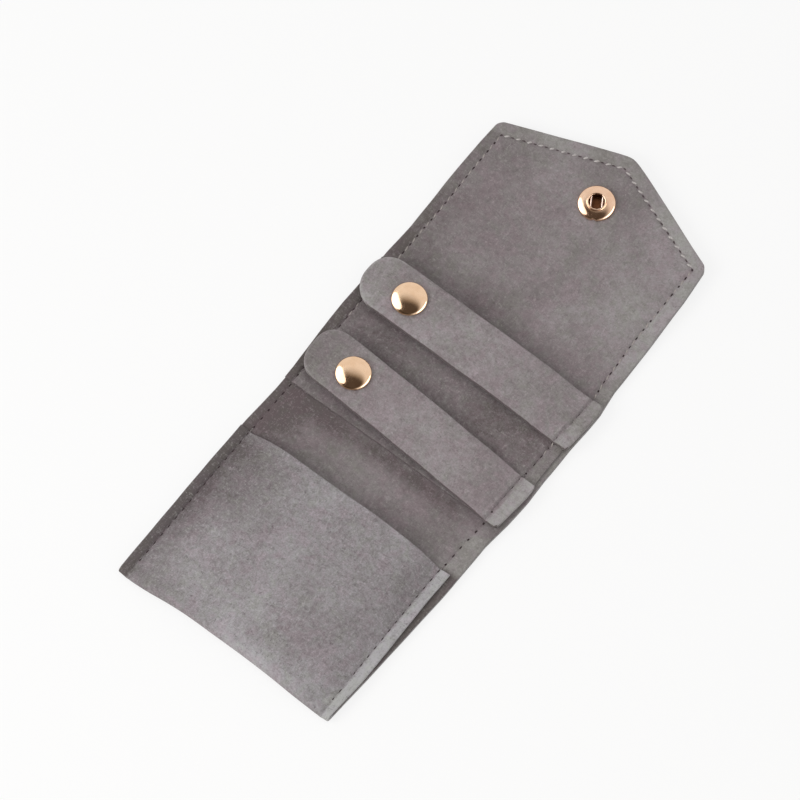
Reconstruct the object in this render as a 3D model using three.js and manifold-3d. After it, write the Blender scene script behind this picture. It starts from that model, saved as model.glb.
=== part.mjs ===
// Tri-fold suede jewelry organizer pouch, lying open on a table, inner side up.
// Millimetres. While it is drawn, x runs from the left edge to the strap seam's side and
// y from the pocket's folded bottom edge to the flap's point; z = 0 is the table.
import * as THREE from 'three';
import Module from 'manifold-3d';

const wasm = await Module();
wasm.setup();

// Outline of the strip
const width = 73;
const sideBulge = 2.6;
const pocketFoldY = 64.6;
const flapFoldY = 127;
const shoulderY = 171.2;
const flapRise = 14;
const apexRadius = 3;
const shoulderRadius = 2.4;

// Layers
const shellThickness = 1.0;
const liningThickness = 0.8;
const panelThickness = 0.8;
const strapThickness = 1.4;
const frontThickness = 0.8;
const layerGap = 0.05;
const foldGap = 0.3;

// Pocket
const mouthY = 55;
const mouthGape = 4.7;
const crownPower = 5;
const foldGape = 2.6;
const gapeRunY = 26;
const noseDepth = 2.2;
const frontRightInset = 1.1;

// Strap panel and straps
const panelLowY = 74;
const panelHighY = 119.5;
const panelRightInset = 1.2;
const strapWidth = 16.8;
const strapLift = 0.3;
const strapOverhang = 0.6;
const strapAxisRise = 0.6;
const earringStrap = { name: 'earring', endX: -0.4, snapX: 14.5, snapY: 112.3, slope: 0, roundness: 2 };
const ringStrap = { name: 'ring', endX: 1.2, snapX: 16.1, snapY: 84.9, slope: -0.054, roundness: 2.6 };

// Seams
const seamInset = 2.8;
const seamFlat = 1.7;
const threadWidth = 0.5;
const threadHeight = 0.2;

// Snap fasteners
const flapSnapY = 168.4;
const capRadius = 5.05;
const capHeight = 1.6;
const tubeRadius = 1.4;
const tubeClearance = 0.3;
const flareHeight = 0.15;
const socketRadius = 5.3;
const socketHeight = 2.3;
const socketBase = 0.35;
const socketMouthRadius = 2.6;
const grooveRadius = 3.2;
const grooveHeight = 0.6;
const socketLip = 0.2;
const wireRadius = 0.2;
const studFlangeRadius = 4.5;
const studFlange = 0.5;
const studHeight = 2.2;
const studNeckRadius = 1.5;
const studBulbRadius = 1.95;
const studBoreRadius = 1.0;
const studCrown = 0.5;
const postFlangeRadius = 4.0;
const postFlange = 0.3;
const postShankRadius = 0.7;
const faceGap = 0.1;
const neckClearance = 0.1;
const relaxedWireSpan = 1.25;
const humpMargin = 1.9;
const humpRun = 5.4;
const flapRampRun = 22;
const stackClearance = 0.4;

// Mesh fineness
const sheetStep = 5;
const turnSegments = 18;

// Colours
const suedeColour = '#8d868a';
const threadColour = '#b9b4b2';
const roseGoldColour = '#d9a58c';
const springColour = '#c9b0a4';

// Levels of the stacked layers, worked out from the thicknesses
const liningLow = shellThickness + layerGap;
const liningTop = liningLow + liningThickness;
const panelLow = liningTop + layerGap;
const panelTop = panelLow + panelThickness;
const frontTop = liningTop + layerGap + frontThickness;
const strapSnapLow = panelTop + layerGap + studFlange + faceGap + socketHeight + layerGap;
const strapHingeLow = panelTop + strapLift;
const sewnEndTop = panelTop + layerGap + strapThickness;
const strapCapTop = strapSnapLow + strapThickness + layerGap + capHeight;
const flapHump = capHeight + layerGap;
const pocketHump = studHeight + layerGap;

// Places of the folds' axes: the pocket folds over the closed straps, and the flap folds
// over the pocket until its socket seats on the stud.
const seamLeftX = seamInset;
const seamRightX = width - seamInset;
const strapHingeX = seamRightX - 0.7;
const strapHingeZ = sewnEndTop + strapAxisRise;
const pocketFoldZ = (strapCapTop + frontTop + mouthGape + stackClearance) / 2;
const socketFace = flapHump + liningTop + layerGap + socketHeight;
const studFace = studHeight - studFlange;
const flapFoldZ = pocketFoldZ + (socketFace - studFace + faceGap) / 2;
const snapX = width / 2;
const studY = 2 * pocketFoldY - (2 * flapFoldY - flapSnapY);

function material(colour, roughness, metalness) {
  return new THREE.MeshStandardMaterial({ color: colour, roughness, metalness });
}

const suede = material(suedeColour, 0.95, 0);
const thread = material(threadColour, 0.8, 0);
const roseGold = material(roseGoldColour, 0.2, 1);
const springWire = material(springColour, 0.25, 1);

// Splits each stretch between the given stops into equal steps no longer than step.
function ticks(stops, step) {
  const out = [stops[0]];
  for (let i = 1; i < stops.length; i += 1) {
    const count = Math.max(1, Math.round((stops[i] - stops[i - 1]) / step));
    for (let k = 1; k <= count; k += 1) {
      out.push(stops[i - 1] + (stops[i] - stops[i - 1]) * k / count);
    }
  }
  return out;
}

// Closed skin between a lower and an upper surface, both given over columns and rows.
function skin(columns, rows, lower, upper) {
  const positions = [];
  for (const surface of [lower, upper]) {
    for (const row of rows) {
      for (const column of columns) {
        positions.push(...surface(column, row));
      }
    }
  }
  const across = columns.length;
  const layer = across * rows.length;
  const index = [];
  const quad = (a, b, c, d) => index.push(a, b, c, a, c, d);
  for (let j = 0; j < rows.length - 1; j += 1) {
    for (let i = 0; i < across - 1; i += 1) {
      const a = j * across + i;
      quad(a, a + across, a + across + 1, a + 1);
      quad(layer + a, layer + a + 1, layer + a + across + 1, layer + a + across);
    }
    const left = j * across;
    const right = left + across - 1;
    quad(left, layer + left, layer + left + across, left + across);
    quad(right, right + across, layer + right + across, layer + right);
  }
  for (let i = 0; i < across - 1; i += 1) {
    const near = i;
    const far = layer - across + i;
    quad(near, near + 1, layer + near + 1, layer + near);
    quad(far, layer + far, layer + far + 1, far + 1);
  }
  const geometry = new THREE.BufferGeometry();
  geometry.setAttribute('position', new THREE.Float32BufferAttribute(positions, 3));
  geometry.setIndex(index);
  return geometry;
}

// A level or draped sheet: its underside is at low(x, y).
function sheet(columns, rows, place, low, thickness) {
  const surface = (rise) => (column, row) => {
    const [x, y] = place(column, row);
    return [x, y, low(x, y) + rise];
  };
  return skin(columns, rows, surface(0), surface(thickness));
}

function toManifold(geometry) {
  return new wasm.Manifold(new wasm.Mesh({
    numProp: 3,
    vertProperties: new Float32Array(geometry.getAttribute('position').array),
    triVerts: new Uint32Array(geometry.getIndex().array),
  }));
}

function cylinder(x, y, lowZ, highZ, radius) {
  const ring = [...Array(turnSegments).keys()].map((k) => k * 2 * Math.PI / turnSegments);
  const positions = [];
  for (const z of [lowZ, highZ]) {
    ring.forEach((angle) => positions.push(x + radius * Math.cos(angle), y + radius * Math.sin(angle), z));
    positions.push(x, y, z);
  }
  const n = turnSegments;
  const index = [];
  for (let k = 0; k < n; k += 1) {
    const next = (k + 1) % n;
    const top = n + 1;
    index.push(next, k, n, top + k, top + next, top + n);
    index.push(k, next, top + next, k, top + next, top + k);
  }
  const geometry = new THREE.BufferGeometry();
  geometry.setAttribute('position', new THREE.Float32BufferAttribute(positions, 3));
  geometry.setIndex(index);
  return geometry;
}

function cut(geometry, tools) {
  let solid = toManifold(geometry);
  for (const tool of tools) {
    solid = solid.subtract(toManifold(tool));
  }
  const mesh = solid.getMesh();
  const out = new THREE.BufferGeometry();
  out.setAttribute('position', new THREE.BufferAttribute(new Float32Array(mesh.vertProperties), 3));
  out.setIndex(new THREE.BufferAttribute(new Uint32Array(mesh.triVerts), 1));
  return out;
}

function named(name, geometry, look) {
  const mesh = new THREE.Mesh(geometry, look);
  mesh.name = name;
  return mesh;
}

// Outline of the strip

function rightEdge(y) {
  return width + sideBulge * Math.sin(Math.PI * THREE.MathUtils.clamp(y / shoulderY, 0, 1));
}

function tipY(x) {
  const half = width / 2;
  const offset = Math.hypot(x - half, apexRadius) - apexRadius;
  const fromSide = THREE.MathUtils.clamp((half - Math.abs(x - half)) / shoulderRadius, 0, 1);
  const rounding = shoulderRadius * (1 - Math.sqrt(1 - (1 - fromSide) ** 2));
  return shoulderY + flapRise * (1 - offset / half) - rounding;
}

// Moves a column outward so that the last one follows the bulging right edge.
function stripX(column, y, rightInset = 0) {
  return column + (column / width) ** 4 * (rightEdge(y) - width - rightInset);
}

// The hardware under the strip lifts it off the table: the stiff flap slopes up to its cap
// and stays level beyond it, and the pocket third rises in a low hump over its stud.

const humpFlat = socketRadius + humpMargin;
const flapRampHighY = flapSnapY - humpFlat;
const flapRampLowY = flapRampHighY - flapRampRun;

function shellLow(x, y) {
  const overCap = flapHump * THREE.MathUtils.smoothstep(y, flapRampLowY, flapRampHighY);
  const reach = (Math.abs(x - snapX) ** 4 + Math.abs(y - studY) ** 4) ** 0.25;
  const overStud = pocketHump * (1 - THREE.MathUtils.smoothstep(reach, humpFlat, humpFlat + humpRun));
  return overCap + overStud;
}

const liningLowAt = (x, y) => shellLow(x, y) + liningLow;

// Grid lines that follow a hump's level top, slope and foot
function stopsRound(centre) {
  const reaches = [humpFlat + humpRun, humpFlat + humpRun / 2, socketRadius + humpMargin / 2];
  return [...reaches.map((r) => centre - r), centre, ...reaches.map((r) => centre + r).reverse()];
}

// Pocket front: how far it stands off the lining

function gape(x, y) {
  const span = seamRightX - seamLeftX - 2 * seamFlat;
  const across = THREE.MathUtils.clamp((x - seamLeftX - seamFlat) / span, 0, 1);
  const crown = 1 - Math.abs(2 * across - 1) ** crownPower;
  const along = THREE.MathUtils.smoothstep(y, 0, gapeRunY);
  return crown * (foldGape + (mouthGape - foldGape) * along);
}

// Snap fasteners, drawn along z from the fabric's near face at z = 0 to its far face

function turned(profile) {
  const points = profile.map(([r, z]) => new THREE.Vector2(r, z));
  return weld(new THREE.LatheGeometry(points, turnSegments));
}

// Joins the vertices that a turned shape repeats along its seam and on its axis.
function weld(geometry) {
  const source = geometry.getAttribute('position');
  const old = geometry.getIndex().array;
  const keys = new Map();
  const positions = [];
  const place = [];
  for (let i = 0; i < source.count; i += 1) {
    const point = [source.getX(i), source.getY(i), source.getZ(i)].map((v) => Math.round(v * 1e5) / 1e5 + 0);
    const key = point.join();
    if (!keys.has(key)) {
      keys.set(key, positions.length / 3);
      positions.push(...point);
    }
    place.push(keys.get(key));
  }
  const index = [];
  for (let t = 0; t < old.length; t += 3) {
    const [a, b, c] = [place[old[t]], place[old[t + 1]], place[old[t + 2]]];
    if (a !== b && b !== c && c !== a) {
      index.push(a, b, c);
    }
  }
  const out = new THREE.BufferGeometry();
  out.setAttribute('position', new THREE.Float32BufferAttribute(positions, 3));
  out.setIndex(index);
  out.rotateX(Math.PI / 2);
  return out;
}

// Domed cap with the tube that is clinched inside the socket
function capGeometry(fabric) {
  const clinch = fabric + 2 * layerGap + socketBase + layerGap;
  return turned([
    [0, -layerGap - capHeight],
    [capRadius * 0.36, -layerGap - capHeight * 0.95],
    [capRadius * 0.66, -layerGap - capHeight * 0.77],
    [capRadius * 0.88, -layerGap - capHeight * 0.47],
    [capRadius, -layerGap - capHeight * 0.16],
    [capRadius * 0.985, -layerGap],
    [tubeRadius, -layerGap],
    [tubeRadius, clinch],
    [tubeRadius + 2 * tubeClearance, clinch],
    [tubeRadius + 2 * tubeClearance, clinch + flareHeight],
    [0, clinch + flareHeight],
  ]);
}

// Socket ring with its groove for the spring; the mouth is at the far end
function socketGeometry(fabric) {
  const base = fabric + layerGap;
  const bore = tubeRadius + tubeClearance;
  const face = base + socketHeight;
  return turned([
    [bore, base],
    [socketRadius * 0.97, base],
    [socketRadius, base + socketHeight * 0.12],
    [socketRadius * 0.93, base + socketHeight * 0.27],
    [socketRadius * 0.81, base + socketHeight * 0.45],
    [socketRadius * 0.76, base + socketHeight * 0.7],
    [socketRadius * 0.68, face - socketLip * 0.5],
    [socketRadius * 0.58, face],
    [socketMouthRadius, face - socketLip * 0.5],
    [socketMouthRadius, face - socketLip],
    [grooveRadius, face - socketLip],
    [grooveRadius, face - socketLip - grooveHeight],
    [socketMouthRadius, face - socketLip - grooveHeight],
    [socketMouthRadius, base + socketBase],
    [bore, base + socketBase],
    [bore, base],
  ]);
}

// Hairpin spring: two legs across the socket's mouth and a bend round its wall
function springGeometry(fabric, halfSpan) {
  const level = fabric + layerGap + socketHeight - socketLip - grooveHeight / 2;
  const reach = grooveRadius - wireRadius - neckClearance;
  const legEnd = Math.sqrt(reach ** 2 - halfSpan ** 2);
  const points = [];
  for (const t of [0, 0.5, 1]) {
    points.push(new THREE.Vector3(-halfSpan, legEnd * (1 - 2 * t), level));
  }
  for (const t of [0.25, 0.5, 0.75]) {
    const angle = Math.atan2(-legEnd, -halfSpan) * (1 - t) + Math.atan2(-legEnd, halfSpan) * t;
    points.push(new THREE.Vector3(reach * Math.cos(angle), reach * Math.sin(angle), level));
  }
  for (const t of [0, 0.5, 1]) {
    points.push(new THREE.Vector3(halfSpan, legEnd * (2 * t - 1), level));
  }
  const sides = 6;
  const section = new THREE.Shape([...Array(sides).keys()].map((k) => new THREE.Vector2(
    wireRadius * Math.cos(k * 2 * Math.PI / sides), wireRadius * Math.sin(k * 2 * Math.PI / sides))));
  const path = new THREE.CatmullRomCurve3(points, false, 'centripetal');
  return new THREE.ExtrudeGeometry(section, { steps: 22, bevelEnabled: false, extrudePath: path });
}

// Stud with its flange on the fabric's far face
function studGeometry(fabric) {
  const foot = fabric + layerGap;
  return turned([
    [0, foot + studHeight - studCrown],
    [studBoreRadius, foot + studHeight - studCrown],
    [studBoreRadius, foot],
    [studFlangeRadius, foot],
    [studFlangeRadius, foot + studFlange * 0.6],
    [studFlangeRadius * 0.93, foot + studFlange],
    [studNeckRadius, foot + studFlange],
    [studNeckRadius, foot + studHeight * 0.52],
    [studBulbRadius, foot + studHeight * 0.62],
    [studBulbRadius, foot + studHeight * 0.8],
    [studBulbRadius * 0.7, foot + studHeight],
    [0, foot + studHeight],
  ]);
}

// Post with its flange on the fabric's near face and its shank inside the stud
function postGeometry(fabric) {
  const tip = fabric + layerGap + studHeight - studCrown - tubeClearance;
  return turned([
    [0, -layerGap - postFlange],
    [postFlangeRadius * 0.96, -layerGap - postFlange],
    [postFlangeRadius, -layerGap - postFlange * 0.4],
    [postFlangeRadius, -layerGap],
    [postShankRadius, -layerGap],
    [postShankRadius, tip],
    [0, tip],
  ]);
}

function femaleSnap(name, fabric, halfSpan) {
  const group = new THREE.Group();
  group.add(named(`${name}_snap_cap`, capGeometry(fabric), roseGold));
  group.add(named(`${name}_snap_socket`, socketGeometry(fabric), roseGold));
  group.add(named(`${name}_snap_spring`, springGeometry(fabric, halfSpan), springWire));
  return group;
}

function maleSnap(name, fabric) {
  const group = new THREE.Group();
  group.add(named(`${name}_snap_stud`, studGeometry(fabric), roseGold));
  group.add(named(`${name}_snap_post`, postGeometry(fabric), roseGold));
  return group;
}

// Seam threads lie on the top layer along a line of points
function seamThread(path) {
  const tangent = (k) => {
    const [a, b] = [path[Math.max(k - 1, 0)], path[Math.min(k + 1, path.length - 1)]];
    const length = Math.hypot(b[0] - a[0], b[1] - a[1]);
    return [(b[0] - a[0]) / length, (b[1] - a[1]) / length];
  };
  const surface = (rise) => (side, k) => {
    const [tx, ty] = tangent(k);
    const [x, y, z] = path[k];
    return [x + side * ty * threadWidth / 2, y - side * tx * threadWidth / 2, z + layerGap + rise];
  };
  return skin([-1, 1], [...path.keys()], surface(0), surface(threadHeight));
}

// Points up a side seam from lowY to highY; a level is [from, to, top] for each raised layer.
function sidePath(x, lowY, highY, levels) {
  const climb = foldGap;
  const rows = [lowY, highY];
  levels.forEach(([from, to]) => rows.push(from - 2 * climb, from - climb, to + climb, to + 2 * climb));
  const height = (y) => levels.reduce(
    (top, [from, to, level]) => (y > from - 1.5 * climb && y < to + 1.5 * climb ? Math.max(top, level) : top),
    liningTop);
  return rows.filter((y) => y >= lowY && y <= highY).sort((a, b) => a - b).map((y) => [x, y, height(y)]);
}

// Flap: two layers, the closure's cap and socket

function buildFlap() {
  const group = new THREE.Group();
  const rootY = flapFoldY + foldGap / 2;
  const apexY = tipY(snapX);
  const columns = ticks([0, shoulderRadius * 0.4, seamInset * 1.5, snapX - apexRadius * 1.5, snapX,
    snapX + apexRadius * 1.5, width - seamInset * 1.5, width - shoulderRadius * 0.4, width], sheetStep);
  const sideRows = ticks([rootY, flapRampLowY, flapRampHighY], sheetStep);
  const rows = [...sideRows, flapSnapY, apexY];
  const place = (column, row) => {
    const beyond = Math.max(row - flapRampHighY, 0) / (apexY - flapRampHighY);
    const y = Math.min(row, flapRampHighY) + beyond * (tipY(column) - flapRampHighY);
    return [stripX(column, y), y];
  };
  const hole = cylinder(snapX, flapSnapY, 0, flapHump + liningTop + 1, tubeRadius + tubeClearance);
  const shell = sheet(columns, rows, place, shellLow, shellThickness);
  const lining = sheet(columns, rows, place, liningLowAt, liningThickness);
  group.add(named('flap_shell', cut(shell, [hole]), suede));
  group.add(named('flap_lining', cut(lining, [hole]), suede));
  const snap = femaleSnap('flap', liningTop, relaxedWireSpan);
  snap.position.set(snapX, flapSnapY, flapHump);
  group.add(snap);
  const half = width / 2 - seamInset;
  const slope = flapRise / (width / 2);
  const cornerY = shoulderY + slope * seamInset - seamInset * Math.hypot(1, slope);
  const onLining = (x, y) => [x, y, liningTop + shellLow(x, y)];
  const seam = [
    ...sideRows.map((y) => onLining(seamLeftX, y)),
    onLining(seamLeftX, cornerY),
    onLining(snapX, cornerY + half * slope),
    onLining(seamRightX, cornerY),
    ...sideRows.map((y) => onLining(seamRightX, y)).reverse(),
  ];
  group.add(named('flap_seam_thread', seamThread(seam), thread));
  return group;
}

// Back: the middle third, with the strap panel and the studs that the straps close on

function strapCentreY(strap, x) {
  return strap.snapY + strap.slope * (x - strap.snapX);
}

function buildBack() {
  const group = new THREE.Group();
  const rows = ticks([pocketFoldY + foldGap / 2, flapFoldY - foldGap / 2], 12);
  const columns = [0, width / 2, width];
  const strip = (column, row) => [stripX(column, row), row];
  group.add(named('back_shell', sheet(columns, rows, strip, () => 0, shellThickness), suede));
  group.add(named('back_lining', sheet(columns, rows, strip, () => liningLow, liningThickness), suede));

  const recess = postFlange + 2 * layerGap;
  const panelPlace = (column, row) => [stripX(column, row, panelRightInset), row];
  const panel = sheet(columns, ticks([panelLowY, panelHighY], 12), panelPlace, () => panelLow, panelThickness);
  const holes = [];
  for (const strap of [earringStrap, ringStrap]) {
    const [x, y] = [strap.snapX, strap.snapY];
    holes.push(cylinder(x, y, 0, panelTop + 1, postShankRadius + tubeClearance));
    holes.push(cylinder(x, y, 0, panelLow + recess, postFlangeRadius + tubeClearance));
  }
  group.add(named('strap_panel', cut(panel, holes), suede));

  const sewnEnds = [];
  for (const strap of [earringStrap, ringStrap]) {
    const snap = maleSnap(strap.name, panelThickness - recess);
    snap.position.set(strap.snapX, strap.snapY, panelLow + recess);
    group.add(snap);
    const place = (column, row) => {
      const y = strapCentreY(strap, column) + row * strapWidth / 2;
      const reach = rightEdge(y) + strapOverhang - strapHingeX - foldGap / 2;
      return [strapHingeX + foldGap / 2 + reach * (column - strapHingeX) / (width - strapHingeX), y];
    };
    const end = sheet([strapHingeX, width], [-1, 0, 1], place, () => panelTop + layerGap, strapThickness);
    group.add(named(`${strap.name}_strap_sewn_end`, end, suede));
    const seamY = strapCentreY(strap, seamRightX);
    sewnEnds.push([seamY - strapWidth / 2, seamY + strapWidth / 2, sewnEndTop]);
  }
  const panelLevel = [panelLowY, panelHighY, panelTop];
  const [lowY, highY] = [rows[0], rows[rows.length - 1]];
  const left = sidePath(seamLeftX, lowY, highY, [panelLevel]);
  const right = sidePath(seamRightX, lowY, highY, [panelLevel, ...sewnEnds]);
  group.add(named('back_left_seam_thread', seamThread(left), thread));
  group.add(named('back_right_seam_thread', seamThread(right), thread));
  return group;
}

// Pocket third: shell and lining, the puffed front that folds round the bottom edge, and
// the stud on its outer side

function buildPocket() {
  const group = new THREE.Group();
  const columns = ticks([0, ...stopsRound(snapX), width], sheetStep);
  const rows = ticks([noseDepth + foldGap, ...stopsRound(studY), pocketFoldY - foldGap / 2], sheetStep);
  const place = (column, row) => [stripX(column, row), row];
  const hole = cylinder(snapX, studY, 0, pocketHump + liningTop + 1, postShankRadius + tubeClearance);
  const shell = sheet(columns, rows, place, shellLow, shellThickness);
  const lining = sheet(columns, rows, place, liningLowAt, liningThickness);
  group.add(named('pocket_shell', cut(shell, [hole]), suede));
  group.add(named('pocket_lining', cut(lining, [hole]), suede));

  const snap = maleSnap('pocket', liningTop);
  snap.position.set(snapX, studY, pocketHump + liningTop);
  snap.rotation.x = Math.PI;
  group.add(snap);

  // Rows 0 to 1 turn round the folded bottom edge; later rows are y + 1 up to the mouth.
  const frontRows = [0, 0.2, 0.4, 0.6, 0.8, ...ticks([noseDepth, gapeRunY, mouthY], sheetStep).map((y) => y + 1)];
  const frontColumns = ticks([0, seamLeftX + seamFlat, width / 2, seamRightX - seamFlat, width], sheetStep);
  const frontSurface = (inset) => (column, row) => {
    const y = Math.max(row - 1, noseDepth);
    const x = stripX(column, y, frontRightInset);
    if (row >= 1 + noseDepth) {
      return [x, y, frontTop + gape(column, y) - inset];
    }
    const angle = row * Math.PI;
    const middle = (frontTop + gape(column, y)) / 2;
    return [x, noseDepth - (noseDepth - inset) * Math.sin(angle), middle - (middle - inset) * Math.cos(angle)];
  };
  const front = skin(frontColumns, frontRows, frontSurface(frontThickness), frontSurface(0));
  group.add(named('pocket_front', front, suede));

  const top = rows[rows.length - 1];
  const levels = [[0, mouthY, frontTop]];
  group.add(named('pocket_left_seam_thread', seamThread(sidePath(seamLeftX, noseDepth, top, levels)), thread));
  group.add(named('pocket_right_seam_thread', seamThread(sidePath(seamRightX, noseDepth, top, levels)), thread));
  return group;
}

// Straps: each lies over its stud at the left and bends down to the right seam

function buildStrap(strap) {
  const group = new THREE.Group();
  const rootX = strapHingeX - foldGap / 2;
  const flatX = strap.snapX + humpFlat;
  const low = (x) => {
    const along = THREE.MathUtils.clamp((x - flatX) / (rootX - flatX), 0, 1);
    return strapHingeLow + (strapSnapLow - strapHingeLow) * (1 - along ** 2);
  };
  const across = [-1, -0.96, -0.85, -0.65, -0.35, 0, 0.35, 0.65, 0.85, 0.96, 1];
  const along = ticks([0, flatX - strap.endX, rootX - strap.endX], 6);
  const length = rootX - strap.endX;
  const place = (row, side) => {
    const round = (1 - Math.abs(side) ** strap.roundness) ** (1 / strap.roundness);
    const startX = strap.endX + strapWidth / 2 * (1 - round);
    const x = startX + (rootX - startX) * row / length;
    return [x, strapCentreY(strap, x) + side * strapWidth / 2];
  };
  const hole = cylinder(strap.snapX, strap.snapY, 0, strapCapTop, tubeRadius + tubeClearance);
  const band = sheet(along, across, place, low, strapThickness);
  group.add(named(`${strap.name}_strap`, cut(band, [hole]), suede));
  const snap = femaleSnap(strap.name, strapThickness, studNeckRadius + wireRadius + neckClearance);
  snap.position.set(strap.snapX, strap.snapY, strapSnapLow + strapThickness);
  snap.rotation.x = Math.PI;
  group.add(snap);
  return group;
}

const pouch = new THREE.Group();
pouch.add(buildBack(), buildFlap(), buildPocket(), buildStrap(earringStrap), buildStrap(ringStrap));

// The origin is on the table under the middle of the open pouch.
const extent = new THREE.Box3().setFromObject(pouch);
const centre = extent.getCenter(new THREE.Vector3());
pouch.position.set(-centre.x, -centre.y, 0);

console.log(`open size ${extent.getSize(new THREE.Vector3()).toArray().map((v) => v.toFixed(2)).join(' x ')} mm`);
console.log(`origin at x ${centre.x.toFixed(3)}, y ${centre.y.toFixed(3)}`);
console.log(`pocket fold y ${(pocketFoldY - centre.y).toFixed(3)}, z ${pocketFoldZ.toFixed(3)}`);
console.log(`flap fold y ${(flapFoldY - centre.y).toFixed(3)}, z ${flapFoldZ.toFixed(3)}`);
console.log(`strap hinges x ${(strapHingeX - centre.x).toFixed(3)}, z ${strapHingeZ.toFixed(3)}`);

export default pouch;
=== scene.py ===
import math
import bmesh
import bpy
import numpy as np
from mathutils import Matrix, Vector


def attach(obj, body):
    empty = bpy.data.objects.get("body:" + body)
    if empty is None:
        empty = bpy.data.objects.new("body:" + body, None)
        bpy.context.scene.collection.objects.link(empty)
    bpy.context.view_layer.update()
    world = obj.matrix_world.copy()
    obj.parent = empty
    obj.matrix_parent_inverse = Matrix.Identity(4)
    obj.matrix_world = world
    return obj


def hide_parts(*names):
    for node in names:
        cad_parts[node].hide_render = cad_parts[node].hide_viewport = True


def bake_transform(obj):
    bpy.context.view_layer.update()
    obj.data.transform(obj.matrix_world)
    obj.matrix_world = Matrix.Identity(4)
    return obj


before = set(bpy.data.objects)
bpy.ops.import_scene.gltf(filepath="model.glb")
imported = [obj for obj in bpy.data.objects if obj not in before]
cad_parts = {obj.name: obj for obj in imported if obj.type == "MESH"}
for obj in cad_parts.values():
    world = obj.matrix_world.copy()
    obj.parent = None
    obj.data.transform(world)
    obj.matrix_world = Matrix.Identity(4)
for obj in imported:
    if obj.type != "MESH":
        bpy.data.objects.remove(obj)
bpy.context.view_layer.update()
print("frame loaded:", len(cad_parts), "CAD nodes")

# All shapes are drawn in millimetres: x from the pouch's left edge, y from the pocket's
# folded bottom edge, z from the table. toRow turns them into the frame's metres.
pouch = {
    "origin": (37.897, 92.654),  # where the frame's origin lies in those millimetres
    "width": 73.0,
    "sideBulge": 2.6,
    "shoulderY": 171.2,
    "shoulderRadius": 1.9,
    "flapRise": 14.0,
    "apexRadius": 1.6,
    "apexLift": 0.75,
    # how much lower the point's left and right side are cut, and the x where that starts
    "skewLeft": (0.3, 25.0),
    "skewRight": (0.6, 42.0),
    "shell": 1.0,
    "lining": 0.8,
    "layerGap": 0.05,
    "edgeRound": 0.3,  # radius of the cut edges
    "splitY": 97.0,  # under the straps, where each strip is parted into an upper and a lower piece
    "wobble": 0.07,  # how far the cut edges wander
    "wobbleWaves": (7.3, 2.6),  # the two waves' lengths over two pi
    "swell": 0.22,  # height of the soft waves in the suede
    "swellRing": (6.5, 14.0),  # they begin between these distances from a snap
    "swellInset": 8.0,  # and reach their height this far inside the stitches
    "curl": 0.42,  # how far the margins outside the stitches lift off the table
    "curlRun": (0.1, 3.2),
    "pinch": 0.24,  # how far the thread draws the underside up
    "pinchWidth": 1.1,
    # how far the sides bow, as (y, outward offset) along the left and the right edge
    "bowLeft": [
        (0, 0.0), (25, 0.3), (58, 0.25), (70, -0.35), (78, -0.3), (90, 0.4), (102, 0.9),
        (112, 0.7), (122, 0.9), (132, 0.4), (148, 0.75), (164, 0.6), (171, 0.3),
    ],
    "bowRight": [
        (0, 0.15), (22, 0.42), (50, 0.45), (68, 0.1), (77, 0.9), (86, 1.15), (94, 0.75), (101, 0.8),
        (106, 0.8), (113, 1.2), (119, 1.4), (127, 0.5), (148, 0.6), (160, 0.85), (171, 0.3),
    ],
    # the right seam keeps its distance from the bowed edge at the straps
    "seamRight": [
        (0, 0.5), (14, 0.35), (30, 0.0), (52, -0.2), (66, 0.3), (76, 0.9), (92, 1.0),
        (103, 1.35), (119.5, 2.35), (123, 1.6), (128, 1.0), (142, 0.1),
    ],
}
seams = {
    "inset": 2.8,
    "pitch": 3.2,
    # shares of the layers' height that the thread takes or adds
    "groove": 0.17,
    "press": 0.06,
    "lips": 0.03,
    "pucker": 0.02,
    "grooveWidth": 0.42,
    "lipOffset": 0.95,
    "puckerWidth": 1.2,
    "pressRun": (0.1, 2.7),
}
snaps = {
    "flap": (36.9, 168.7),
    "earring": (14.5, 112.3),
    "ring": (16.1, 84.9),
    "pocket": (36.9, 43.9),
    # how high the strip rises over the flap's cap and the pocket's stud, and how it gets there
    "flapHump": 1.65,
    "pocketHump": 2.25,
    "humpFlat": 7.2,
    "humpRun": 5.4,
    "rampRun": 22.0,
}

liningLow = pouch["shell"] + pouch["layerGap"]
liningTop = liningLow + pouch["lining"]
halfWidth = pouch["width"] / 2
seamLeftX = seams["inset"]
seamRightX = pouch["width"] - seams["inset"]
tipSlope = pouch["flapRise"] / halfWidth
tipRun = math.hypot(1, tipSlope)
cornerY = pouch["shoulderY"] + tipSlope * seams["inset"] - seams["inset"] * tipRun
rampHighY = snaps["flap"][1] - snaps["humpFlat"]


def toRow(points):
    ox, oy = pouch["origin"]
    return (np.asarray(points, float) - (ox, oy, 0.0)) / 1000.0


def smooth(t, low, high):
    t = np.clip((t - low) / (high - low), 0, 1)
    return t * t * (3 - 2 * t)


def bell(t, width):
    return np.exp(-((t / width) ** 2))


def ticks(stops, sizes):
    out = [stops[0]]
    for a, b, size in zip(stops, stops[1:], sizes):
        count = max(1, round(abs(b - a) / size))
        out += [a + (b - a) * k / count for k in range(1, count + 1)]
    return np.array(out)


def rightEdge(y):
    return pouch["width"] + pouch["sideBulge"] * np.sin(np.pi * np.clip(y / pouch["shoulderY"], 0, 1))


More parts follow.
